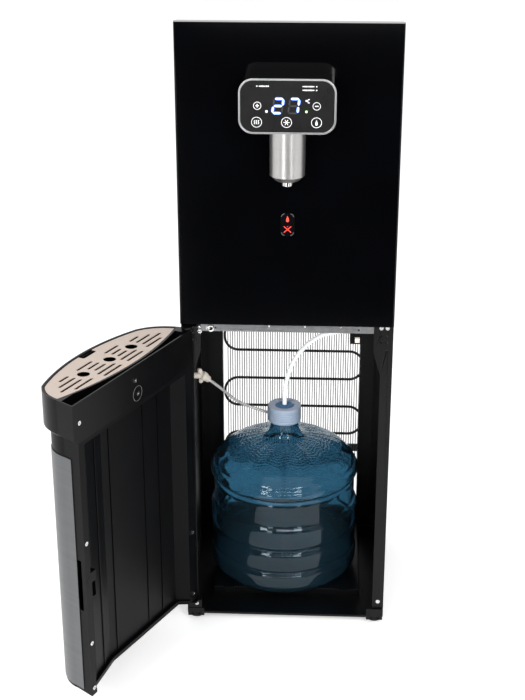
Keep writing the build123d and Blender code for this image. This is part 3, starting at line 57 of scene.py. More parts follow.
# ---------------------------------------------------------------- places read from the frame
lens_low, lens_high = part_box("display_lens")
DISPLAY_FACE = Vector(((lens_low.x + lens_high.x) / 2, lens_low.y, (lens_low.z + lens_high.z) / 2))
window_low, window_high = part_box("indicator_window")
INDICATOR_FACE = Vector(((window_low.x + window_high.x) / 2, window_low.y,
                         (window_low.z + window_high.z) / 2))
bottle_low, bottle_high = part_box("bottle")
BOTTLE_AXIS = Vector(((bottle_low.x + bottle_high.x) / 2, (bottle_low.y + bottle_high.y) / 2, bottle_low.z))
BOTTLE_RADIUS = (bottle_high.x - bottle_low.x) / 2
seal_low, seal_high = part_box("cap_seal")
bar_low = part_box("front_crossbar")[0]
fascia_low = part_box("front_fascia")[0]
hinge = next(joint for joint in frame["joints"] if joint["name"] == "door_hinge")
PIVOT = Vector(hinge["pos_m"])
OPEN = math.radians(-hinge["range_deg"][0])
ALONG_DOOR = Vector((math.cos(OPEN), -math.sin(OPEN), 0))
ACROSS_DOOR = Vector((math.sin(OPEN), math.cos(OPEN), 0))
UP = Vector((0, 0, 1))


def on_door(along, out, height):
    """Place on the open door: millimetres along from the hinge, towards the cabinet, and above the floor."""
    level = Vector((PIVOT.x, PIVOT.y, 0))
    return level + ALONG_DOOR * along * MM + ACROSS_DOOR * out * MM + UP * height * MM


# ---------------------------------------------------------------- materials
def make_material(name, colour, roughness, metallic=0.0, tone=0.12, patch=18.0, grain=0.0, grain_size=700.0,
                  stretch=(1, 1, 1), polish=0.05, **sockets):
    """Principled surface whose colour, roughness and relief vary by procedural noise."""
    material = bpy.data.materials.new(name)
    material.use_nodes = True
    tree = material.node_tree
    shader = tree.nodes["Principled BSDF"]
    place = tree.nodes.new("ShaderNodeTexCoord")
    mapping = tree.nodes.new("ShaderNodeMapping")
    mapping.inputs["Scale"].default_value = stretch
    tree.links.new(place.outputs["Object"], mapping.inputs["Vector"])
    broad = tree.nodes.new("ShaderNodeTexNoise")
    broad.inputs["Scale"].default_value = patch
    broad.inputs["Detail"].default_value = 5.0
    tree.links.new(mapping.outputs["Vector"], broad.inputs["Vector"])
    ramp = tree.nodes.new("ShaderNodeValToRGB")
    ramp.color_ramp.elements[0].position = 0.3
    ramp.color_ramp.elements[1].position = 0.7
    ramp.color_ramp.elements[0].color = (*[c * (1 - tone) for c in colour], 1)
    ramp.color_ramp.elements[1].color = (*[min(1, c * (1 + tone)) for c in colour], 1)
    tree.links.new(broad.outputs["Fac"], ramp.inputs["Fac"])
    tree.links.new(ramp.outputs["Color"], shader.inputs["Base Color"])
    fine = tree.nodes.new("ShaderNodeTexNoise")
    fine.inputs["Scale"].default_value = grain_size
    fine.inputs["Detail"].default_value = 3.0
    tree.links.new(mapping.outputs["Vector"], fine.inputs["Vector"])
    spread = tree.nodes.new("ShaderNodeMapRange")
    spread.inputs["To Min"].default_value = max(0.02, roughness - polish)
    spread.inputs["To Max"].default_value = min(1, roughness + polish)
    tree.links.new(fine.outputs["Fac"], spread.inputs["Value"])
    tree.links.new(spread.outputs["Result"], shader.inputs["Roughness"])
    if grain:
        bump = tree.nodes.new("ShaderNodeBump")
        bump.inputs["Strength"].default_value = grain
        bump.inputs["Distance"].default_value = 0.0004
        tree.links.new(fine.outputs["Fac"], bump.inputs["Height"])
        tree.links.new(bump.outputs["Normal"], shader.inputs["Normal"])
    shader.inputs["Metallic"].default_value = metallic
    for socket, value in sockets.items():
        shader.inputs[socket.replace("_", " ")].default_value = value
    return material


BRUSHED_UP = (60, 60, 1.5)
BRUSHED_ROUND = (1.5, 1.5, 60)

gloss_black = make_material("gloss_black", (0.0008, 0.0009, 0.0013), 0.08, tone=0.3, polish=0.03, patch=6,
                            Specular_IOR_Level=0.3)
top_gloss = make_material("top_gloss", (0.002, 0.0021, 0.0025), 0.07, tone=0.2, polish=0.03, patch=6,
                          IOR=1.8, Coat_Weight=1.0, Coat_Roughness=0.05)
powder_black = make_material("powder_black", (0.0016, 0.0017, 0.002), 0.36, tone=0.3, grain=0.2,
                             grain_size=900, Specular_IOR_Level=0.2)
moulded_black = make_material("moulded_black", (0.0016, 0.0017, 0.0021), 0.4, tone=0.2, grain=0.2,
                              grain_size=1400, polish=0.08, Specular_IOR_Level=0.09)
satin_black = make_material("satin_black", (0.0016, 0.0016, 0.002), 0.3, tone=0.2, grain=0.1,
                            grain_size=1100, Specular_IOR_Level=0.12)
window_black = make_material("window_black", (0.0025, 0.0025, 0.003), 0.1, tone=0.15, patch=40)
lens_grey = make_material("lens_grey", (0.012, 0.012, 0.0125), 0.16, tone=0.15, patch=40,
                          Specular_IOR_Level=0.4)
zinc = make_material("zinc", (0.19, 0.195, 0.2), 0.42, metallic=0.85, tone=0.16, patch=90, grain=0.1)
steel_door = make_material("steel_door", (0.13, 0.133, 0.137), 0.36, metallic=1.0, tone=0.06, patch=3,
                           grain=0.05, grain_size=24, stretch=BRUSHED_ROUND, polish=0.1,
                           Anisotropic=0.5)
steel_spout = make_material("steel_spout", (0.5, 0.495, 0.485), 0.34, metallic=1.0, tone=0.03, patch=4,
                            grain=0.02, grain_size=30, stretch=BRUSHED_ROUND, polish=0.03)
bright_steel = make_material("bright_steel", (0.66, 0.66, 0.65), 0.2, metallic=1.0, tone=0.15, patch=300)
trim = make_material("trim", (0.5, 0.505, 0.51), 0.3, metallic=1.0, tone=0.08, patch=60)
beige = make_material("beige", (0.47, 0.385, 0.33), 0.46, metallic=0.15, tone=0.05, patch=14, grain=0.15,
                      grain_size=1200, polish=0.06)
cap_blue = make_material("cap_blue", (0.30, 0.36, 0.47), 0.45, tone=0.05, patch=30, grain=0.08,
                         Subsurface_Weight=0.15)
seal_blue = make_material("seal_blue", (0.03, 0.12, 0.26), 0.5, tone=0.12, patch=80, grain=0.1)
bottle_blue = make_material("bottle_blue", (0.15, 0.31, 0.41), 0.03, tone=0.05, patch=9, polish=0.012,
                            Transmission_Weight=0.97, IOR=1.33)
# milky white hose plastic; its emission paints a glow that stands in for light diffusing through the hose
milky_with_painted_glow = make_material("milky_with_painted_glow", (0.8, 0.82, 0.83), 0.28, tone=0.03, patch=60,
                      Emission_Color=(0.9, 0.93, 0.95, 1), Emission_Strength=0.22)
natural_tube = make_material("natural_tube", (0.8, 0.88, 0.92), 0.05, tone=0.03, patch=60, polish=0.02,
                             Transmission_Weight=0.98, IOR=1.06)
clear_tube = make_material("clear_tube", (0.72, 0.72, 0.7), 0.2, tone=0.06, patch=60,
                           Transmission_Weight=0.5)
off_white = make_material("off_white", (0.72, 0.66, 0.58), 0.42, tone=0.08, patch=60, grain=0.08)
wire_black = make_material("wire_black", (0.004, 0.004, 0.0045), 0.35, tone=0.25, grain=0.15,
                           grain_size=500)
rubber = make_material("rubber", (0.008, 0.008, 0.008), 0.65, tone=0.2, grain=0.4, grain_size=900)
compressor_coat = make_material("compressor_coat", (0.012, 0.012, 0.013), 0.3, tone=0.2, grain=0.3,
                                grain_size=260)
stainless = make_material("stainless", (0.6, 0.6, 0.6), 0.3, metallic=1.0, tone=0.12, patch=6, grain=0.1,
                          grain_size=30, stretch=BRUSHED_UP)
copper = make_material("copper", (0.62, 0.27, 0.13), 0.32, metallic=1.0, tone=0.25, patch=40)
foam_cream = make_material("foam_cream", (0.74, 0.7, 0.58), 0.9, tone=0.08, patch=40, grain=0.8,
                           grain_size=220)
nylon = make_material("nylon", (0.55, 0.54, 0.5), 0.5, tone=0.08, patch=50, grain=0.1)
laminate = make_material("laminate", (0.02, 0.13, 0.05), 0.4, tone=0.3, patch=160, grain=0.1)
# white print for the display's icons and rings, with a weak emission that paints a glow on it
print_white_with_painted_glow = make_material("print_white_with_painted_glow", (0.8, 0.8, 0.8), 0.5, tone=0.04, patch=200,
                            Emission_Color=(0.9, 0.92, 0.95, 1), Emission_Strength=0.12)
unlit = make_material("unlit", (0.02, 0.02, 0.022), 0.4, tone=0.1, patch=200)
lit_blue = make_material("lit_blue", (0.2, 0.35, 0.9), 0.4, tone=0.04, patch=200,
                         Emission_Color=(0.03, 0.1, 1.0, 1), Emission_Strength=2.0)
lit_core = make_material("lit_core", (0.7, 0.8, 1.0), 0.4, tone=0.03, patch=200,
                         Emission_Color=(0.32, 0.5, 1.0, 1), Emission_Strength=1.3)
lit_white = make_material("lit_white", (0.8, 0.78, 0.9), 0.4, tone=0.03, patch=200,
                          Emission_Color=(0.85, 0.8, 1.0, 1), Emission_Strength=1.0)
lit_green = make_material("lit_green", (0.4, 0.8, 0.3), 0.4, tone=0.05, patch=200,
                          Emission_Color=(0.35, 0.9, 0.25, 1), Emission_Strength=1.0)
lit_red = make_material("lit_red", (0.8, 0.05, 0.03), 0.4, tone=0.05, patch=200,
                        Emission_Color=(1.0, 0.03, 0.02, 1), Emission_Strength=1.1)
shadow_gap = make_material("shadow_gap", (0.0012, 0.0012, 0.0012), 0.8, tone=0.2, patch=100,
                           Specular_IOR_Level=0.1)
# grey for the printed corner marks of the indicator, and a painted highlight on the recess rim
print_grey_and_rim_highlight = make_material("print_grey_and_rim_highlight", (0.12, 0.12, 0.125), 0.45, tone=0.1, patch=100)

FINISHES = {
    "gloss_black": (gloss_black, "front_fascia", "display_housing"),
    "powder_black": (powder_black, "side_panel_left", "side_panel_right", "base_pan", "bottle_platform",
                     "rear_frame", "foot_brackets", "mid_deck", "rear_panel", "hinge_top", "hinge_bottom"),
    "top": (top_gloss, "top_cover"),
    "moulded_black": (moulded_black, "door_liner", "door_switch", "drain_spigot", "power_inlet",
                      "switch_frames", "drip_basin", "hinge_bushes"),
    "satin_black": (satin_black, "door_housing", "rocker_heat", "rocker_cool", "drain_cap"),
    "lens": (lens_grey, "display_lens"),
    "window": (window_black, "indicator_window"),
    "zinc": (zinc, "front_crossbar", "inner_brackets", "condenser_brackets"),
    "skin": (steel_door, "door_skin"),
    "spout": (steel_spout, "spout_body"),
    "bright": (bright_steel, "spout_nozzle", "cabinet_screws", "door_screws"),
    "trim": (trim, "display_bezel"),
    "beige": (beige, "drip_grille"),
    "off_white": (off_white, "hose_elbows", "door_switch_plunger"),
    "wire": (wire_black, "condenser_wires", "condenser_coil"),
    "rubber": (rubber, "levelling_feet"),
    "compressor": (compressor_coat, "compressor"),
    "stainless": (stainless, "cold_tank", "hot_tank", "heater_band"),
    "copper": (copper, "evaporator_coil", "refrigerant_lines"),
    "foam": (foam_cream, "cold_tank_foam"),
    "nylon": (nylon, "water_pump", "valve_block"),
    "natural": (natural_tube, "dip_tube"),
    "laminate": (laminate, "display_board", "power_board"),
    "tube": (clear_tube, "internal_hoses"),
}
for material, *members in FINISHES.values():
    for member in members:
        nodes[member].data.materials.clear()
        nodes[member].data.materials.append(material)


def soften(member, width_mm, angle=35):
    """Small rounded edges on a CAD node, by modifiers only."""
    node = nodes[member]
    weld = node.modifiers.new("weld", "WELD")
    weld.merge_threshold = 0.00001
    bevel = node.modifiers.new("soft_edges", "BEVEL")
    bevel.width = width_mm * MM
    bevel.segments = 2
    bevel.limit_method = "ANGLE"
    bevel.angle_limit = math.radians(angle)
    bevel.use_clamp_overlap = True
    smooth = node.modifiers.new("even_shading", "WEIGHTED_NORMAL")
    smooth.keep_sharp = False


for member, width_mm in {
    "side_panel_left": 0.5, "side_panel_right": 0.5, "base_pan": 0.5, "bottle_platform": 0.6,
    "front_crossbar": 0.4, "door_skin": 0.35, "drip_grille": 0.35, "foot_brackets": 0.5,
    "hinge_bottom": 0.5, "hinge_top": 0.5, "spout_body": 0.6,
}.items():
    soften(member, width_mm)


# ---------------------------------------------------------------- mesh helpers
def make_piece(name, points, faces, material, body, smooth=True):
    """A mesh piece in the row frame that rides on a CAD body."""
    mesh = bpy.data.meshes.new(name)
    mesh.from_pydata([tuple(point) for point in points], [], faces)
    mesh.validate()
    mesh.materials.append(material)
    mesh.polygons.foreach_set("use_smooth", [smooth] * len(mesh.polygons))
    piece = bpy.data.objects.new(name, mesh)
    scene.collection.objects.link(piece)
    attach(piece, body)
    return piece


def lathe(name, profile, centre, material, body, steps=96, axis=UP, relief=None, closed=False):
    """Turns a (radius, height) profile round an axis. relief(angle, index) moves a point outwards and up."""
    axis = axis.normalized()
    side = axis.orthogonal().normalized()
    other = axis.cross(side)
    points = []
    for index, (radius, height) in enumerate(profile):
        for step in range(steps):
            angle = 2 * math.pi * step / steps
            out, lift = relief(angle, index) if relief else (0, 0)
            ray = side * math.cos(angle) + other * math.sin(angle)
            points.append(centre + ray * (radius + out) + axis * (height + lift))
    faces = []
    rows = len(profile)
    for row in range(rows if closed else rows - 1):
        below = row * steps
        above = (row + 1) % rows * steps
        for step in range(steps):
            after = (step + 1) % steps
            faces.append((below + step, below + after, above + after, above + step))
    if not closed:
        faces.append(tuple(reversed(range(steps))))
        faces.append(tuple(range((rows - 1) * steps, rows * steps)))
    return make_piece(name, points, faces, material, body)


def rounded(profile, times=2):
    """The profile with its corners cut, which rounds them."""
    for _ in range(times):
        cut = [profile[0]]
        for (r0, h0), (r1, h1) in zip(profile, profile[1:]):
            cut.append((0.75 * r0 + 0.25 * r1, 0.75 * h0 + 0.25 * h1))
            cut.append((0.25 * r0 + 0.75 * r1, 0.25 * h0 + 0.75 * h1))
        cut.append(profile[-1])
        profile = cut
    return profile


def slab(name, outlines, origin, right, up, height_mm, material, body, slot):
    """Flat shapes standing height_mm proud of a surface. Outlines are lists of (x, y) in millimetres."""
    normal = right.cross(up).normalized()
    points = []
    faces = []
    for outline in outlines:
        base = len(points)
        count = len(outline)
        for proud in (0.0, height_mm * MM):
            points += [origin + right * x * MM + up * y * MM + normal * proud for x, y in outline]
        faces.append(tuple(range(base + count, base + 2 * count)))
        for index in range(count):
            after = (index + 1) % count
            faces.append((base + index, base + after, base + count + after, base + count + index))
    return make_piece(name, points, faces, material, body, smooth=False)


def ring_outlines(x, y, outer, inner, steps=40):
    """A flat ring as small four-sided outlines."""
    outlines = []
    for step in range(steps):
        a = 2 * math.pi * step / steps
        b = 2 * math.pi * (step + 1) / steps
        outlines.append([
            (x + outer * math.cos(a), y + outer * math.sin(a)),
            (x + outer * math.cos(b), y + outer * math.sin(b)),
            (x + inner * math.cos(b), y + inner * math.sin(b)),
            (x + inner * math.cos(a), y + inner * math.sin(a)),
        ])
    return outlines


def disc_outline(x, y, radius, steps=24):
    """A round outline."""
    turns = [2 * math.pi * step / steps for step in range(steps)]
    return [(x + radius * math.cos(turn), y + radius * math.sin(turn)) for turn in turns]


def bar_outline(x0, y0, x1, y1, width, point=0.5):
    """A bar with pointed ends from one place to another."""
    run = Vector((x1 - x0, y1 - y0))
    way = run.normalized()
    side = Vector((-way.y, way.x)) * width / 2
    start = Vector((x0, y0))
    end = Vector((x1, y1))
    tip = way * width * point
    corners = [start, start + tip - side, end - tip - side, end, end - tip + side, start + tip + side]
    return [(corner.x, corner.y) for corner in corners]


def drop_outline(x, y, size, steps=20):
    """A water drop, its point upwards."""
    outline = []
    for step in range(steps):
        turn = 2 * math.pi * step / steps
        lean = math.sin(turn / 2) ** 1.6
        outline.append((x + size * 0.62 * math.sin(turn) * lean, y + size * math.cos(turn)))
    return outline


# ---------------------------------------------------------------- display artwork
RIGHT = Vector((1, 0, 0))
DIGIT_WIDTH = 14.0
DIGIT_HEIGHT = 21.8
SLANT = 0.14
LIT_SEGMENTS = {"two": "abged", "seven": "abc"}


def digit_segments(left, low):
    """The seven strokes of a slanted digit, by letter."""
    def corner(x, y):
        return left + x + SLANT * y, low + y

    half = DIGIT_HEIGHT / 2
    runs = {
        "a": ((0.8, DIGIT_HEIGHT), (DIGIT_WIDTH - 0.8, DIGIT_HEIGHT)),
        "b": ((DIGIT_WIDTH, DIGIT_HEIGHT - 0.8), (DIGIT_WIDTH, half + 0.8)),
        "c": ((DIGIT_WIDTH, half - 0.8), (DIGIT_WIDTH, 0.8)),
        "d": ((0.8, 0), (DIGIT_WIDTH - 0.8, 0)),
        "e": ((0, half - 0.8), (0, 0.8)),
        "f": ((0, DIGIT_HEIGHT - 0.8), (0, half + 0.8)),
        "g": ((0.8, half), (DIGIT_WIDTH - 0.8, half)),
    }
    return {letter: (*corner(*start), *corner(*end)) for letter, (start, end) in runs.items()}


def on_display(name, outlines, material, slot, height_mm=0.15):
    return slab(name, outlines, DISPLAY_FACE, RIGHT, UP, height_mm, material, "cabinet", slot)


for word, left in (("two", -22.5), ("seven", 1.2)):
    strokes = digit_segments(left, -10.0)
    lit = [strokes[letter] for letter in LIT_SEGMENTS[word]]
    dark = [strokes[letter] for letter in "abcdefg" if letter not in LIT_SEGMENTS[word]]
    on_display(f"digit_{word}_glow", [bar_outline(*run, 4.2) for run in lit], lit_blue, "smoked_window", 0.12)
    on_display(f"digit_{word}_core", [bar_outline(*run, 1.7) for run in lit], lit_core, "smoked_window", 0.2)
    on_display(f"digit_{word}_unlit", [bar_outline(*run, 2.4) for run in dark], unlit, "smoked_window", 0.08)

on_display("degree_mark", ring_outlines(28.5, 9.0, 1.3, 0.5, 16)
           + [bar_outline(31, 11, 33.5, 11, 0.9), bar_outline(30.6, 10.6, 30.6, 6.4, 0.9),
              bar_outline(31, 6, 33.5, 6, 0.9)], lit_white, "smoked_window", 0.18)
on_display("white_led", [disc_outline(-31, -7.5, 1.8)], lit_white, "smoked_window", 0.18)
on_display("green_led", [disc_outline(28.6, -7.5, 1.8)], lit_green, "smoked_window", 0.18)

key_rings = []
for x, z, radius in ((-45, 1, 6.0), (44, 1, 6.0), (-46, -24, 8.0), (-1, -24, 8.0), (44, -24, 8.0)):
    key_rings += ring_outlines(x, z, radius, radius - 0.75)
on_display("key_rings", key_rings, print_white_with_painted_glow, "silver_trim")
on_display("plus_minus", [bar_outline(-47.6, 1, -42.4, 1, 1.5, 0), bar_outline(-45, -1.6, -45, 3.6, 1.5, 0),
                          bar_outline(41.4, 1, 46.6, 1, 1.5, 0)], print_white_with_painted_glow, "silver_trim")
heat_waves = []
for x in (-49, -46, -43):
    for low, lean in ((-27, 0.8), (-25, -0.8), (-23, 0.8)):
        heat_waves.append(bar_outline(x - lean, low, x + lean, low + 2.1, 0.9, 0))
on_display("hot_icon", heat_waves, print_white_with_painted_glow, "silver_trim")
snow_arms = []
for turn in range(6):
    angle = math.radians(60 * turn)
    x, z = 4.6 * math.cos(angle), 4.6 * math.sin(angle)
    snow_arms.append(bar_outline(-1, -24, -1 + x, -24 + z, 0.9, 0))
on_display("cold_icon", snow_arms, print_white_with_painted_glow, "silver_trim")
on_display("plain_icon", [drop_outline(44, -24, 4.4)], print_white_with_painted_glow, "silver_trim")
status_marks = []
for start, blocks, z, dot in ((-42.5, 6, 30.5, -45.5), (22.5, 7, 30.5, 43.5), (22.5, 7, 25.0, 43.5)):
    status_marks.append(disc_outline(dot, z, 1.0))
    for block in range(blocks):
        x = start + 2.6 * block
        status_marks.append(bar_outline(x, z, x + 1.9, z, 2.0 if block % 3 else 1.4, 0))
on_display("status_marks", status_marks, print_white_with_painted_glow, "silver_trim")

# refill indicator: a drop over a crossed bottle, between faint corner marks
on_window = dict(origin=INDICATOR_FACE, right=RIGHT, up=UP, body="cabinet", slot="smoked_window")
slab("refill_drop", [drop_outline(0, 9.5, 5.2)], height_mm=0.15, material=lit_red, **on_window)
slab("refill_cross", [bar_outline(-5.8, -13, 5.8, -3, 1.0, 0), bar_outline(-5.8, -3, 5.8, -13, 1.0, 0),
                      disc_outline(0, -3.2, 0.7, 10)],
     height_mm=0.15, material=lit_red, **on_window)
corner_marks = []
for x_way in (-1, 1):
    for z_way in (-1, 1):
        for step in range(6):
            a = math.pi / 2 * step / 6
            b = math.pi / 2 * (step + 1) / 6
            near = [(4.6 + 5.2 * math.cos(t), 13 + 5.2 * math.sin(t)) for t in (a, b)]
            far = [(4.6 + 4.5 * math.cos(t), 13 + 4.5 * math.sin(t)) for t in (b, a)]
            quad = [(x_way * x, z_way * z) for x, z in near + far]
            corner_marks.append(quad if x_way * z_way > 0 else quad[::-1])
slab("indicator_corners", corner_marks, height_mm=0.12, material=print_grey_and_rim_highlight, **on_window)

# ---------------------------------------------------------------- spout trim
spout_low, spout_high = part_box("spout_body")
SPOUT_AXIS = Vector(((spout_low.x + spout_high.x) / 2, spout_low.y + (spout_high.x - spout_low.x) / 2, 0))
housing_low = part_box("display_housing")[0]
slab("spout_mount_plate", [[(-36, -24), (36, -24), (36, 24), (-36, 24)]],
     Vector((SPOUT_AXIS.x, SPOUT_AXIS.y, housing_low.z)), RIGHT, Vector((0, -1, 0)), 1.2, satin_black,
     "cabinet", "matte_black")
lathe("nozzle_collar", [(0.0092, 0.0), (0.0112, 0.0004), (0.0122, 0.0014), (0.0122, 0.0026), (0.0112, 0.0036),
                        (0.0092, 0.004)],
      Vector((SPOUT_AXIS.x, SPOUT_AXIS.y, spout_low.z - 0.0015)), bright_steel, "cabinet",
      steps=64, closed=True)

# ---------------------------------------------------------------- bottle
RING_STEPS = [  # height above the base and depth in from the full radius, in millimetres
    (0, 22), (3, 14), (9, 8), (18, 1), (38, 0), (43, 0), (47, 5), (50, 5), (54, 2), (84, 2), (89, 7),
    (94, 7), (101, 0), (135, 0), (143, 6), (182, 6), (186, 8), (191, 8), (198, 0), (209, 0), (215, 6),
    (221, 7), (227, 14), (234, 20), (238, 26), (250, 50), (257, 70), (261, 86), (265, 97), (270, 104),
    (280, 108), (292, 109), (311, 109),
]
EMBOSS = 0.0007
PETALS = 14


def bottle_profile(inset):
    """Smooth outer or inner profile of the bottle, from the base centre to the neck."""
    run = [(0.0005, inset)]
    for height, inward in RING_STEPS:
        run.append((BOTTLE_RADIUS - inward * MM - inset, max(height * MM, inset)))
    dense = []
    for (r0, h0), (r1, h1) in zip(run, run[1:]):
        pieces = max(1, round(math.hypot(r1 - r0, h1 - h0) / 0.008))
        dense += [(r0 + (r1 - r0) * k / pieces, h0 + (h1 - h0) * k / pieces) for k in range(pieces)]
    return rounded(dense + [run[-1]])


OUTER = bottle_profile(0.0)
INNER = bottle_profile(0.002)
bottle_rows = OUTER + INNER[::-1]


def dome_relief(angle, index):
    """Petals of fine ripples pressed into the shoulder, and a light waver in the wall."""
    radius, height = bottle_rows[index]
    on_dome = height > 0.236 and 0.04 < radius < 0.11
    if not on_dome:
        return 0.00012 * math.sin(5 * angle + 40 * height), 0
    fade = min(1, (radius - 0.04) / 0.008, (0.11 - radius) / 0.006)
    petal = angle * PETALS / (2 * math.pi) % 1 - 0.5
    ripple = math.sin(2 * math.pi * (radius / 0.0062 + 2.2 * abs(petal)))
    stem = math.exp(-(abs(petal) * radius * 2 * math.pi / PETALS / 0.0011) ** 2)
    edge = math.exp(-((0.5 - abs(petal)) * radius * 2 * math.pi / PETALS / 0.0013) ** 2)
    return 0, EMBOSS * fade * (0.75 * ripple * (1 - edge) + 1.3 * stem + 1.3 * edge)


bottle = lathe("water_bottle_shell", bottle_rows, BOTTLE_AXIS, bottle_blue, "water_bottle",
               steps=224, relief=dome_relief, closed=True)
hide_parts("bottle")

# cap: skirt with fine lines, flat top ring, and the nipple of the thin hose
cap_low, cap_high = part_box("bottle_cap")
CAP_HEIGHT = cap_high.z - cap_low.z
CAP_RADIUS = 0.030
CAP_BORE = 0.0265
SEAL_SEAT = 0.0168
cap_profile = [(CAP_BORE, 0.0), (CAP_RADIUS - 0.0015, 0.0), (CAP_RADIUS - 0.0003, 0.0008)]
for line in range(7):
    start = 0.0035 + line * 0.0034
    cap_profile += [(CAP_RADIUS, start), (CAP_RADIUS, start + 0.0024), (CAP_RADIUS - 0.00035, start + 0.0028),
                    (CAP_RADIUS - 0.00035, start + 0.0031)]
cap_profile += [(CAP_RADIUS, CAP_HEIGHT - 0.0022), (CAP_RADIUS - 0.0007, CAP_HEIGHT - 0.0006),
                (CAP_RADIUS - 0.0022, CAP_HEIGHT), (0.0195, CAP_HEIGHT), (0.0182, CAP_HEIGHT - 0.0004),
                (SEAL_SEAT, CAP_HEIGHT - 0.0018), (SEAL_SEAT, CAP_HEIGHT - 0.0050),
                (CAP_BORE, CAP_HEIGHT - 0.0055)]
CAP_BASE = Vector((BOTTLE_AXIS.x, BOTTLE_AXIS.y, cap_low.z))
cap = lathe("cap_shell", cap_profile, CAP_BASE, cap_blue, "water_bottle", steps=128,
            closed=True)
VENT_WAY = Vector((math.cos(math.radians(150)), math.sin(math.radians(150)), 0))
NIPPLE = CAP_BASE + VENT_WAY * (CAP_RADIUS - 0.001) + UP * 0.005
nipple = lathe("cap_nipple", [(0.0016, 0.0), (0.0042, 0.0), (0.0042, 0.002), (0.0030, 0.003), (0.0027, 0.006),
                              (0.0032, 0.0065), (0.0025, 0.009), (0.0016, 0.009)],
               NIPPLE, cap_blue, "water_bottle", steps=40, axis=VENT_WAY, closed=True)
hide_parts("bottle_cap")
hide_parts("bottle_cap")

SEAL_BASE = Vector((BOTTLE_AXIS.x, BOTTLE_AXIS.y, seal_low.z))
seal_rows = [(0.0026, 0.0), (0.0164, 0.0), (0.0164, 0.0026), (0.0158, 0.003), (0.0142, 0.003), (0.0138, 0.0025),
             (0.0118, 0.0025), (0.0114, 0.003), (0.0085, 0.003), (0.0081, 0.0025), (0.0058, 0.0025),
             (0.0054, 0.0032), (0.0041, 0.0034), (0.0040, 0.005), (0.0026, 0.005)]


def seal_relief(angle, index):
    radius, height = seal_rows[index]
    raised = 0.008 < radius < 0.015 and height > 0.002
    return 0, (0.0004 if raised and math.sin(9 * angle) > 0.4 else 0)


seal = lathe("seal_disc", seal_rows, SEAL_BASE, seal_blue, "water_bottle", steps=144,
             relief=seal_relief, closed=True)
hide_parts("cap_seal")

# ---------------------------------------------------------------- hoses
FRONT_Y = fascia_low.y
HOSE_FOOT = seal_high.z
SUPPLY_ROUTE = [
    (BOTTLE_AXIS.x, BOTTLE_AXIS.y, HOSE_FOOT),
    (BOTTLE_AXIS.x, BOTTLE_AXIS.y, HOSE_FOOT + 0.032),
    (0.0, FRONT_Y + 0.164, 0.424),
    (0.010, FRONT_Y + 0.148, 0.456),
    (0.026, FRONT_Y + 0.127, 0.486),
    (0.044, FRONT_Y + 0.107, 0.511),
    (0.064, FRONT_Y + 0.093, 0.528),
    (0.096, FRONT_Y + 0.084, 0.536),
]
VENT_TIP = NIPPLE + VENT_WAY * 0.009
VENT_ROUTE = [
    (-0.144, FRONT_Y + 0.150, 0.413),
    (-0.130, FRONT_Y + 0.157, 0.399),
    (-0.112, FRONT_Y + 0.172, 0.376),
    (-0.096, FRONT_Y + 0.194, 0.350),
    tuple(VENT_TIP + VENT_WAY * 0.030),
    tuple(VENT_TIP),
]


def hose(name, route, diameter, material, node):
    """A hose on one smooth spline, in place of its CAD bar."""
    curve = bpy.data.curves.new(name, "CURVE")
    curve.dimensions = "3D"
    curve.resolution_u = 16
    curve.bevel_depth = diameter / 2
    curve.bevel_resolution = 6
    curve.use_fill_caps = True
    spline = curve.splines.new("NURBS")
    spline.points.add(len(route) - 1)
    for point, place in zip(spline.points, route):
        point.co = (*place, 1)
    spline.order_u = 3
    spline.use_endpoint_u = True
    curve.materials.append(material)
    piece = bpy.data.objects.new(name, curve)
    scene.collection.objects.link(piece)
    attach(piece, "cabinet")
    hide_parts(node)
    return piece


# the supply hose carries the painted glow of its milky material
supply = hose("supply_hose_run", SUPPLY_ROUTE, 0.008, milky_with_painted_glow, "supply_hose")
vent = hose("vent_hose_run", VENT_ROUTE, 0.005, clear_tube, "vent_hose")

# nut, collar and tabs on the side wall's elbow
vent_start = Vector(VENT_ROUTE[0])
vent_back = (vent_start - Vector(VENT_ROUTE[1])).normalized()
lathe("vent_elbow_nut", [(0.0026, -0.003), (0.0052, -0.003), (0.0060, -0.001), (0.0062, 0.004), (0.0078, 0.006),
                         (0.0082, 0.012), (0.0070, 0.015), (0.0026, 0.016)],
      vent_start, off_white, "cabinet", steps=48, axis=vent_back, closed=True)
elbow_knee = vent_start + vent_back * 0.012
for index, (lift, reach) in enumerate(((0.011, 0.004), (-0.012, 0.002))):
    lathe(f"vent_elbow_tab_{index}", rounded([(0.0005, 0.0), (0.0042, 0.0), (0.0046, 0.004), (0.0036, 0.0095),
                                              (0.0005, 0.0105)]),
          elbow_knee + Vector((-reach, 0, lift * 0.35)), off_white, "cabinet", steps=32,
          axis=Vector((-0.35, 0, math.copysign(1, lift))))


# ---------------------------------------------------------------- screws, grommet and door trim
def screw_head(name, place, facing, radius_mm, body):
    """Domed cross-recess screw head."""
    dome = []
    for step in range(7):
        turn = math.pi / 2 * step / 6
        dome.append((radius_mm * MM * math.cos(turn) + 0.00005, radius_mm * 0.55 * MM * math.sin(turn)))
    lathe(name, [(radius_mm * MM, -0.0004)] + dome, place, bright_steel, body, steps=32, axis=facing)
    side = facing.orthogonal().normalized()
    other = facing.cross(side)
    arm = radius_mm * 0.55
    # the cross recess is a flat cross of painted shade standing on the dome
    slab(name + "_cross", [bar_outline(-arm, 0, arm, 0, radius_mm * 0.24, 0),
                           bar_outline(0, -arm, 0, arm, radius_mm * 0.24, 0)],
         place + facing * radius_mm * 0.50 * MM, side, other, radius_mm * 0.075, shadow_gap, body, "bright_steel")


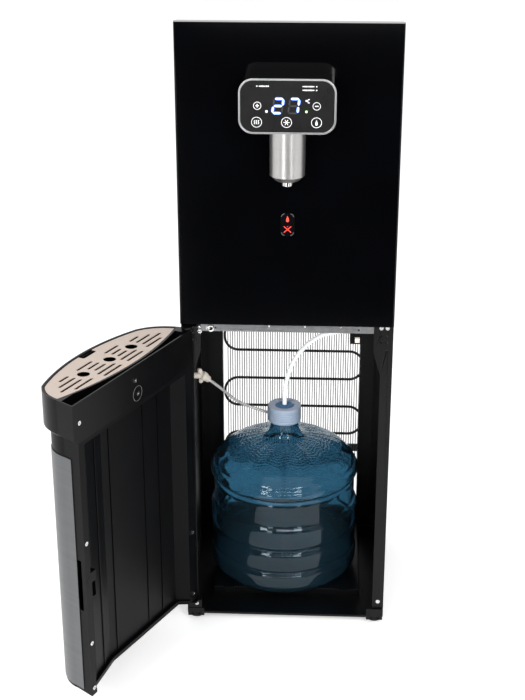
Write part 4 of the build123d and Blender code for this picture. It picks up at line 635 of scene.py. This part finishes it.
TOWARDS_USER = Vector((0, -1, 0))
flange_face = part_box("side_panel_left")[0].y
for index, (x, z) in enumerate(((-0.152, 0.573), (-0.1455, 0.567), (-0.1455, 0.560))):
    screw_head(f"hinge_screw_{index}", Vector((x, flange_face, z)), TOWARDS_USER, 3.2, "cabinet")
for index, (x, z) in enumerate(((-0.093, 0.5735), (0.088, 0.571))):
    screw_head(f"bar_screw_{index}", Vector((x, bar_low.y, z)), TOWARDS_USER, 1.9, "cabinet")
GROMMET_PLACE = Vector((-0.126, bar_low.y, 0.565))
lathe("bar_grommet",
      rounded([(0.0028, 0.0), (0.0060, 0.0), (0.0060, 0.0018), (0.0046, 0.0026), (0.0028, 0.0018)], 1),
      GROMMET_PLACE, bright_steel, "cabinet", steps=48, axis=TOWARDS_USER, closed=True)
# the grommet's hole is a flat dark disc of painted shade on the crossbar
slab("bar_grommet_hole_painted_shade", [disc_outline(0, 0, 2.7)], GROMMET_PLACE, RIGHT, UP, 0.2,
     shadow_gap, "cabinet", "zinc_steel")

# round recess behind the lower screw of the housing's inner wall: a flat disc of painted shade, ringed by a rim
# painted lighter grey as a painted highlight
RECESS_ALONG = 160.0
RECESS_HEIGHT = 519.0
LINER_FACE = 5  # the inner wall, out from the hinge line
slab("recess_disc_painted_shade", [disc_outline(-RECESS_ALONG, RECESS_HEIGHT, 12)], on_door(0, LINER_FACE, 0),
     -ALONG_DOOR, UP, 0.12, shadow_gap, "door", "matte_black")
lathe("recess_rim_painted_highlight",
      rounded([(0.0120, 0.0), (0.0127, 0.0001), (0.0127, 0.0006), (0.0120, 0.0006)], 1),
      on_door(RECESS_ALONG, LINER_FACE, RECESS_HEIGHT), print_grey_and_rim_highlight, "door", steps=64,
      axis=ACROSS_DOOR, closed=True)

# door: the seam on the flange beside the latch, a thin strip of painted shade standing in for its groove
BACK_TO_HINGE = -ALONG_DOOR
door_inner = on_door(0, LINER_FACE, 0)
slab("flange_seam_painted_shade",
     [bar_outline(-323.4, 262, -312, 270, 1.0, 0), bar_outline(-323.4, 262, -323.4, 262.1, 0.6, 0)],
     door_inner, BACK_TO_HINGE, UP, 0.15, shadow_gap, "door", "matte_black")

# ---------------------------------------------------------------- studio
FLOOR_FRONT = -6.0
FLOOR_BACK = 14.0
FLOOR_HALF = 9.0
FLOOR_GLOW = 0.3
BACKDROP_Y = 3.4
BACKDROP_HALF = 6.0
BACKDROP_TOP = 5.0
BACKDROP_GLOW = 0.95
WORLD_STRENGTH = 0.8
FLAG_Y = -1.5
FLAG_HALF = 1.3
FLAG_SPAN = (0.01, 1.0)


def only_in_reflections(board):
    """Hides a board from everything but glossy rays."""
    board.visible_camera = False
    board.visible_diffuse = False
    board.visible_transmission = False
    board.visible_shadow = False


floor_mesh = bpy.data.meshes.new("studio_floor")
floor_mesh.from_pydata([(-FLOOR_HALF, FLOOR_FRONT, 0), (FLOOR_HALF, FLOOR_FRONT, 0),
                        (FLOOR_HALF, FLOOR_BACK, 0), (-FLOOR_HALF, FLOOR_BACK, 0)], [], [(0, 1, 2, 3)])
floor = bpy.data.objects.new("studio_floor", floor_mesh)
scene.collection.objects.link(floor)
floor_paint = make_material("floor_paint", (0.93, 0.93, 0.93), 0.7, tone=0.01, patch=2,
                            Specular_IOR_Level=0.1, Emission_Color=(1, 1, 1, 1),
                            Emission_Strength=FLOOR_GLOW)
floor_mesh.materials.append(floor_paint)

drop_mesh = bpy.data.meshes.new("white_backdrop")
drop_mesh.from_pydata([(-BACKDROP_HALF, BACKDROP_Y, 0), (BACKDROP_HALF, BACKDROP_Y, 0),
                       (BACKDROP_HALF, BACKDROP_Y, BACKDROP_TOP), (-BACKDROP_HALF, BACKDROP_Y, BACKDROP_TOP)],
                      [], [(0, 1, 2, 3)])
backdrop = bpy.data.objects.new("white_backdrop", drop_mesh)
scene.collection.objects.link(backdrop)
drop_mesh.materials.append(make_material("backdrop_paint", (0.5, 0.5, 0.5), 0.8, tone=0.01, patch=1,
                                         Emission_Color=(1, 1, 1, 1), Emission_Strength=BACKDROP_GLOW))
only_in_reflections(backdrop)

world = bpy.data.worlds.new("studio")
scene.world = world
world.use_nodes = True
world.node_tree.nodes["Background"].inputs["Color"].default_value = (1, 1, 1, 1)
world.node_tree.nodes["Background"].inputs["Strength"].default_value = WORLD_STRENGTH


def softbox(name, place, target, width, height, power):
    """Rectangular soft light aimed at a point."""
    light = bpy.data.lights.new(name, "AREA")
    light.shape = "RECTANGLE"
    light.size = width
    light.size_y = height
    light.energy = power
    lamp = bpy.data.objects.new(name, light)
    scene.collection.objects.link(lamp)
    lamp.location = place
    lamp.rotation_euler = (Vector(target) - Vector(place)).to_track_quat("-Z", "Y").to_euler()
    lamp.visible_camera = False
    return lamp


softbox("left_softbox", (-1.15, -1.9, 1.7), (0, -0.1, 0.6), 0.5, 1.3, 26)
softbox("right_softbox", (0.95, -2.1, 1.6), (0, -0.1, 0.6), 0.5, 1.3, 22)
softbox("overhead", (0, 1.2, 3.4), (0, 0.9, 0), 4.5, 3.5, 16)
softbox("left_strip", (-0.42, -1.2, 0.48), (0, -0.2, 0.86), 0.16, 0.6, 2.2)
softbox("right_strip", (0.53, -1.2, 0.48), (0, -0.2, 0.86), 0.12, 0.6, 1.0)
softbox("bay_fill", (0.1, -1.3, 0.95), (0, 0.1, 0.25), 0.7, 0.12, 2.2)

# dark board that only gives the glossy front something black to reflect
flag_mesh = bpy.data.meshes.new("black_flag")
flag_mesh.from_pydata([(-FLAG_HALF, FLAG_Y, FLAG_SPAN[0]), (FLAG_HALF, FLAG_Y, FLAG_SPAN[0]),
                       (FLAG_HALF, FLAG_Y, FLAG_SPAN[1]), (-FLAG_HALF, FLAG_Y, FLAG_SPAN[1])],
                      [], [(0, 1, 2, 3)])
flag = bpy.data.objects.new("black_flag", flag_mesh)
scene.collection.objects.link(flag)
flag_mesh.materials.append(shadow_gap)
only_in_reflections(flag)

# ---------------------------------------------------------------- camera
FOCAL_PIXELS = 1432.0
FRAME_HEIGHT = 700.0
SENSOR = 36.0
camera_data = bpy.data.cameras.new("camera")
camera_data.sensor_fit = "VERTICAL"
camera_data.sensor_height = SENSOR
camera_data.lens = FOCAL_PIXELS / FRAME_HEIGHT * SENSOR
camera_data.clip_end = 60
camera = bpy.data.objects.new("camera", camera_data)
scene.collection.objects.link(camera)
CAMERA_PLACE = (0.0611, -2.3376, 1.4533)
TURN = math.radians(2.663)
TILT = math.radians(22.958)
camera.location = CAMERA_PLACE
camera.rotation_euler = (math.pi / 2 - TILT, 0, TURN)
scene.camera = camera
scene.view_settings.view_transform = "Standard"
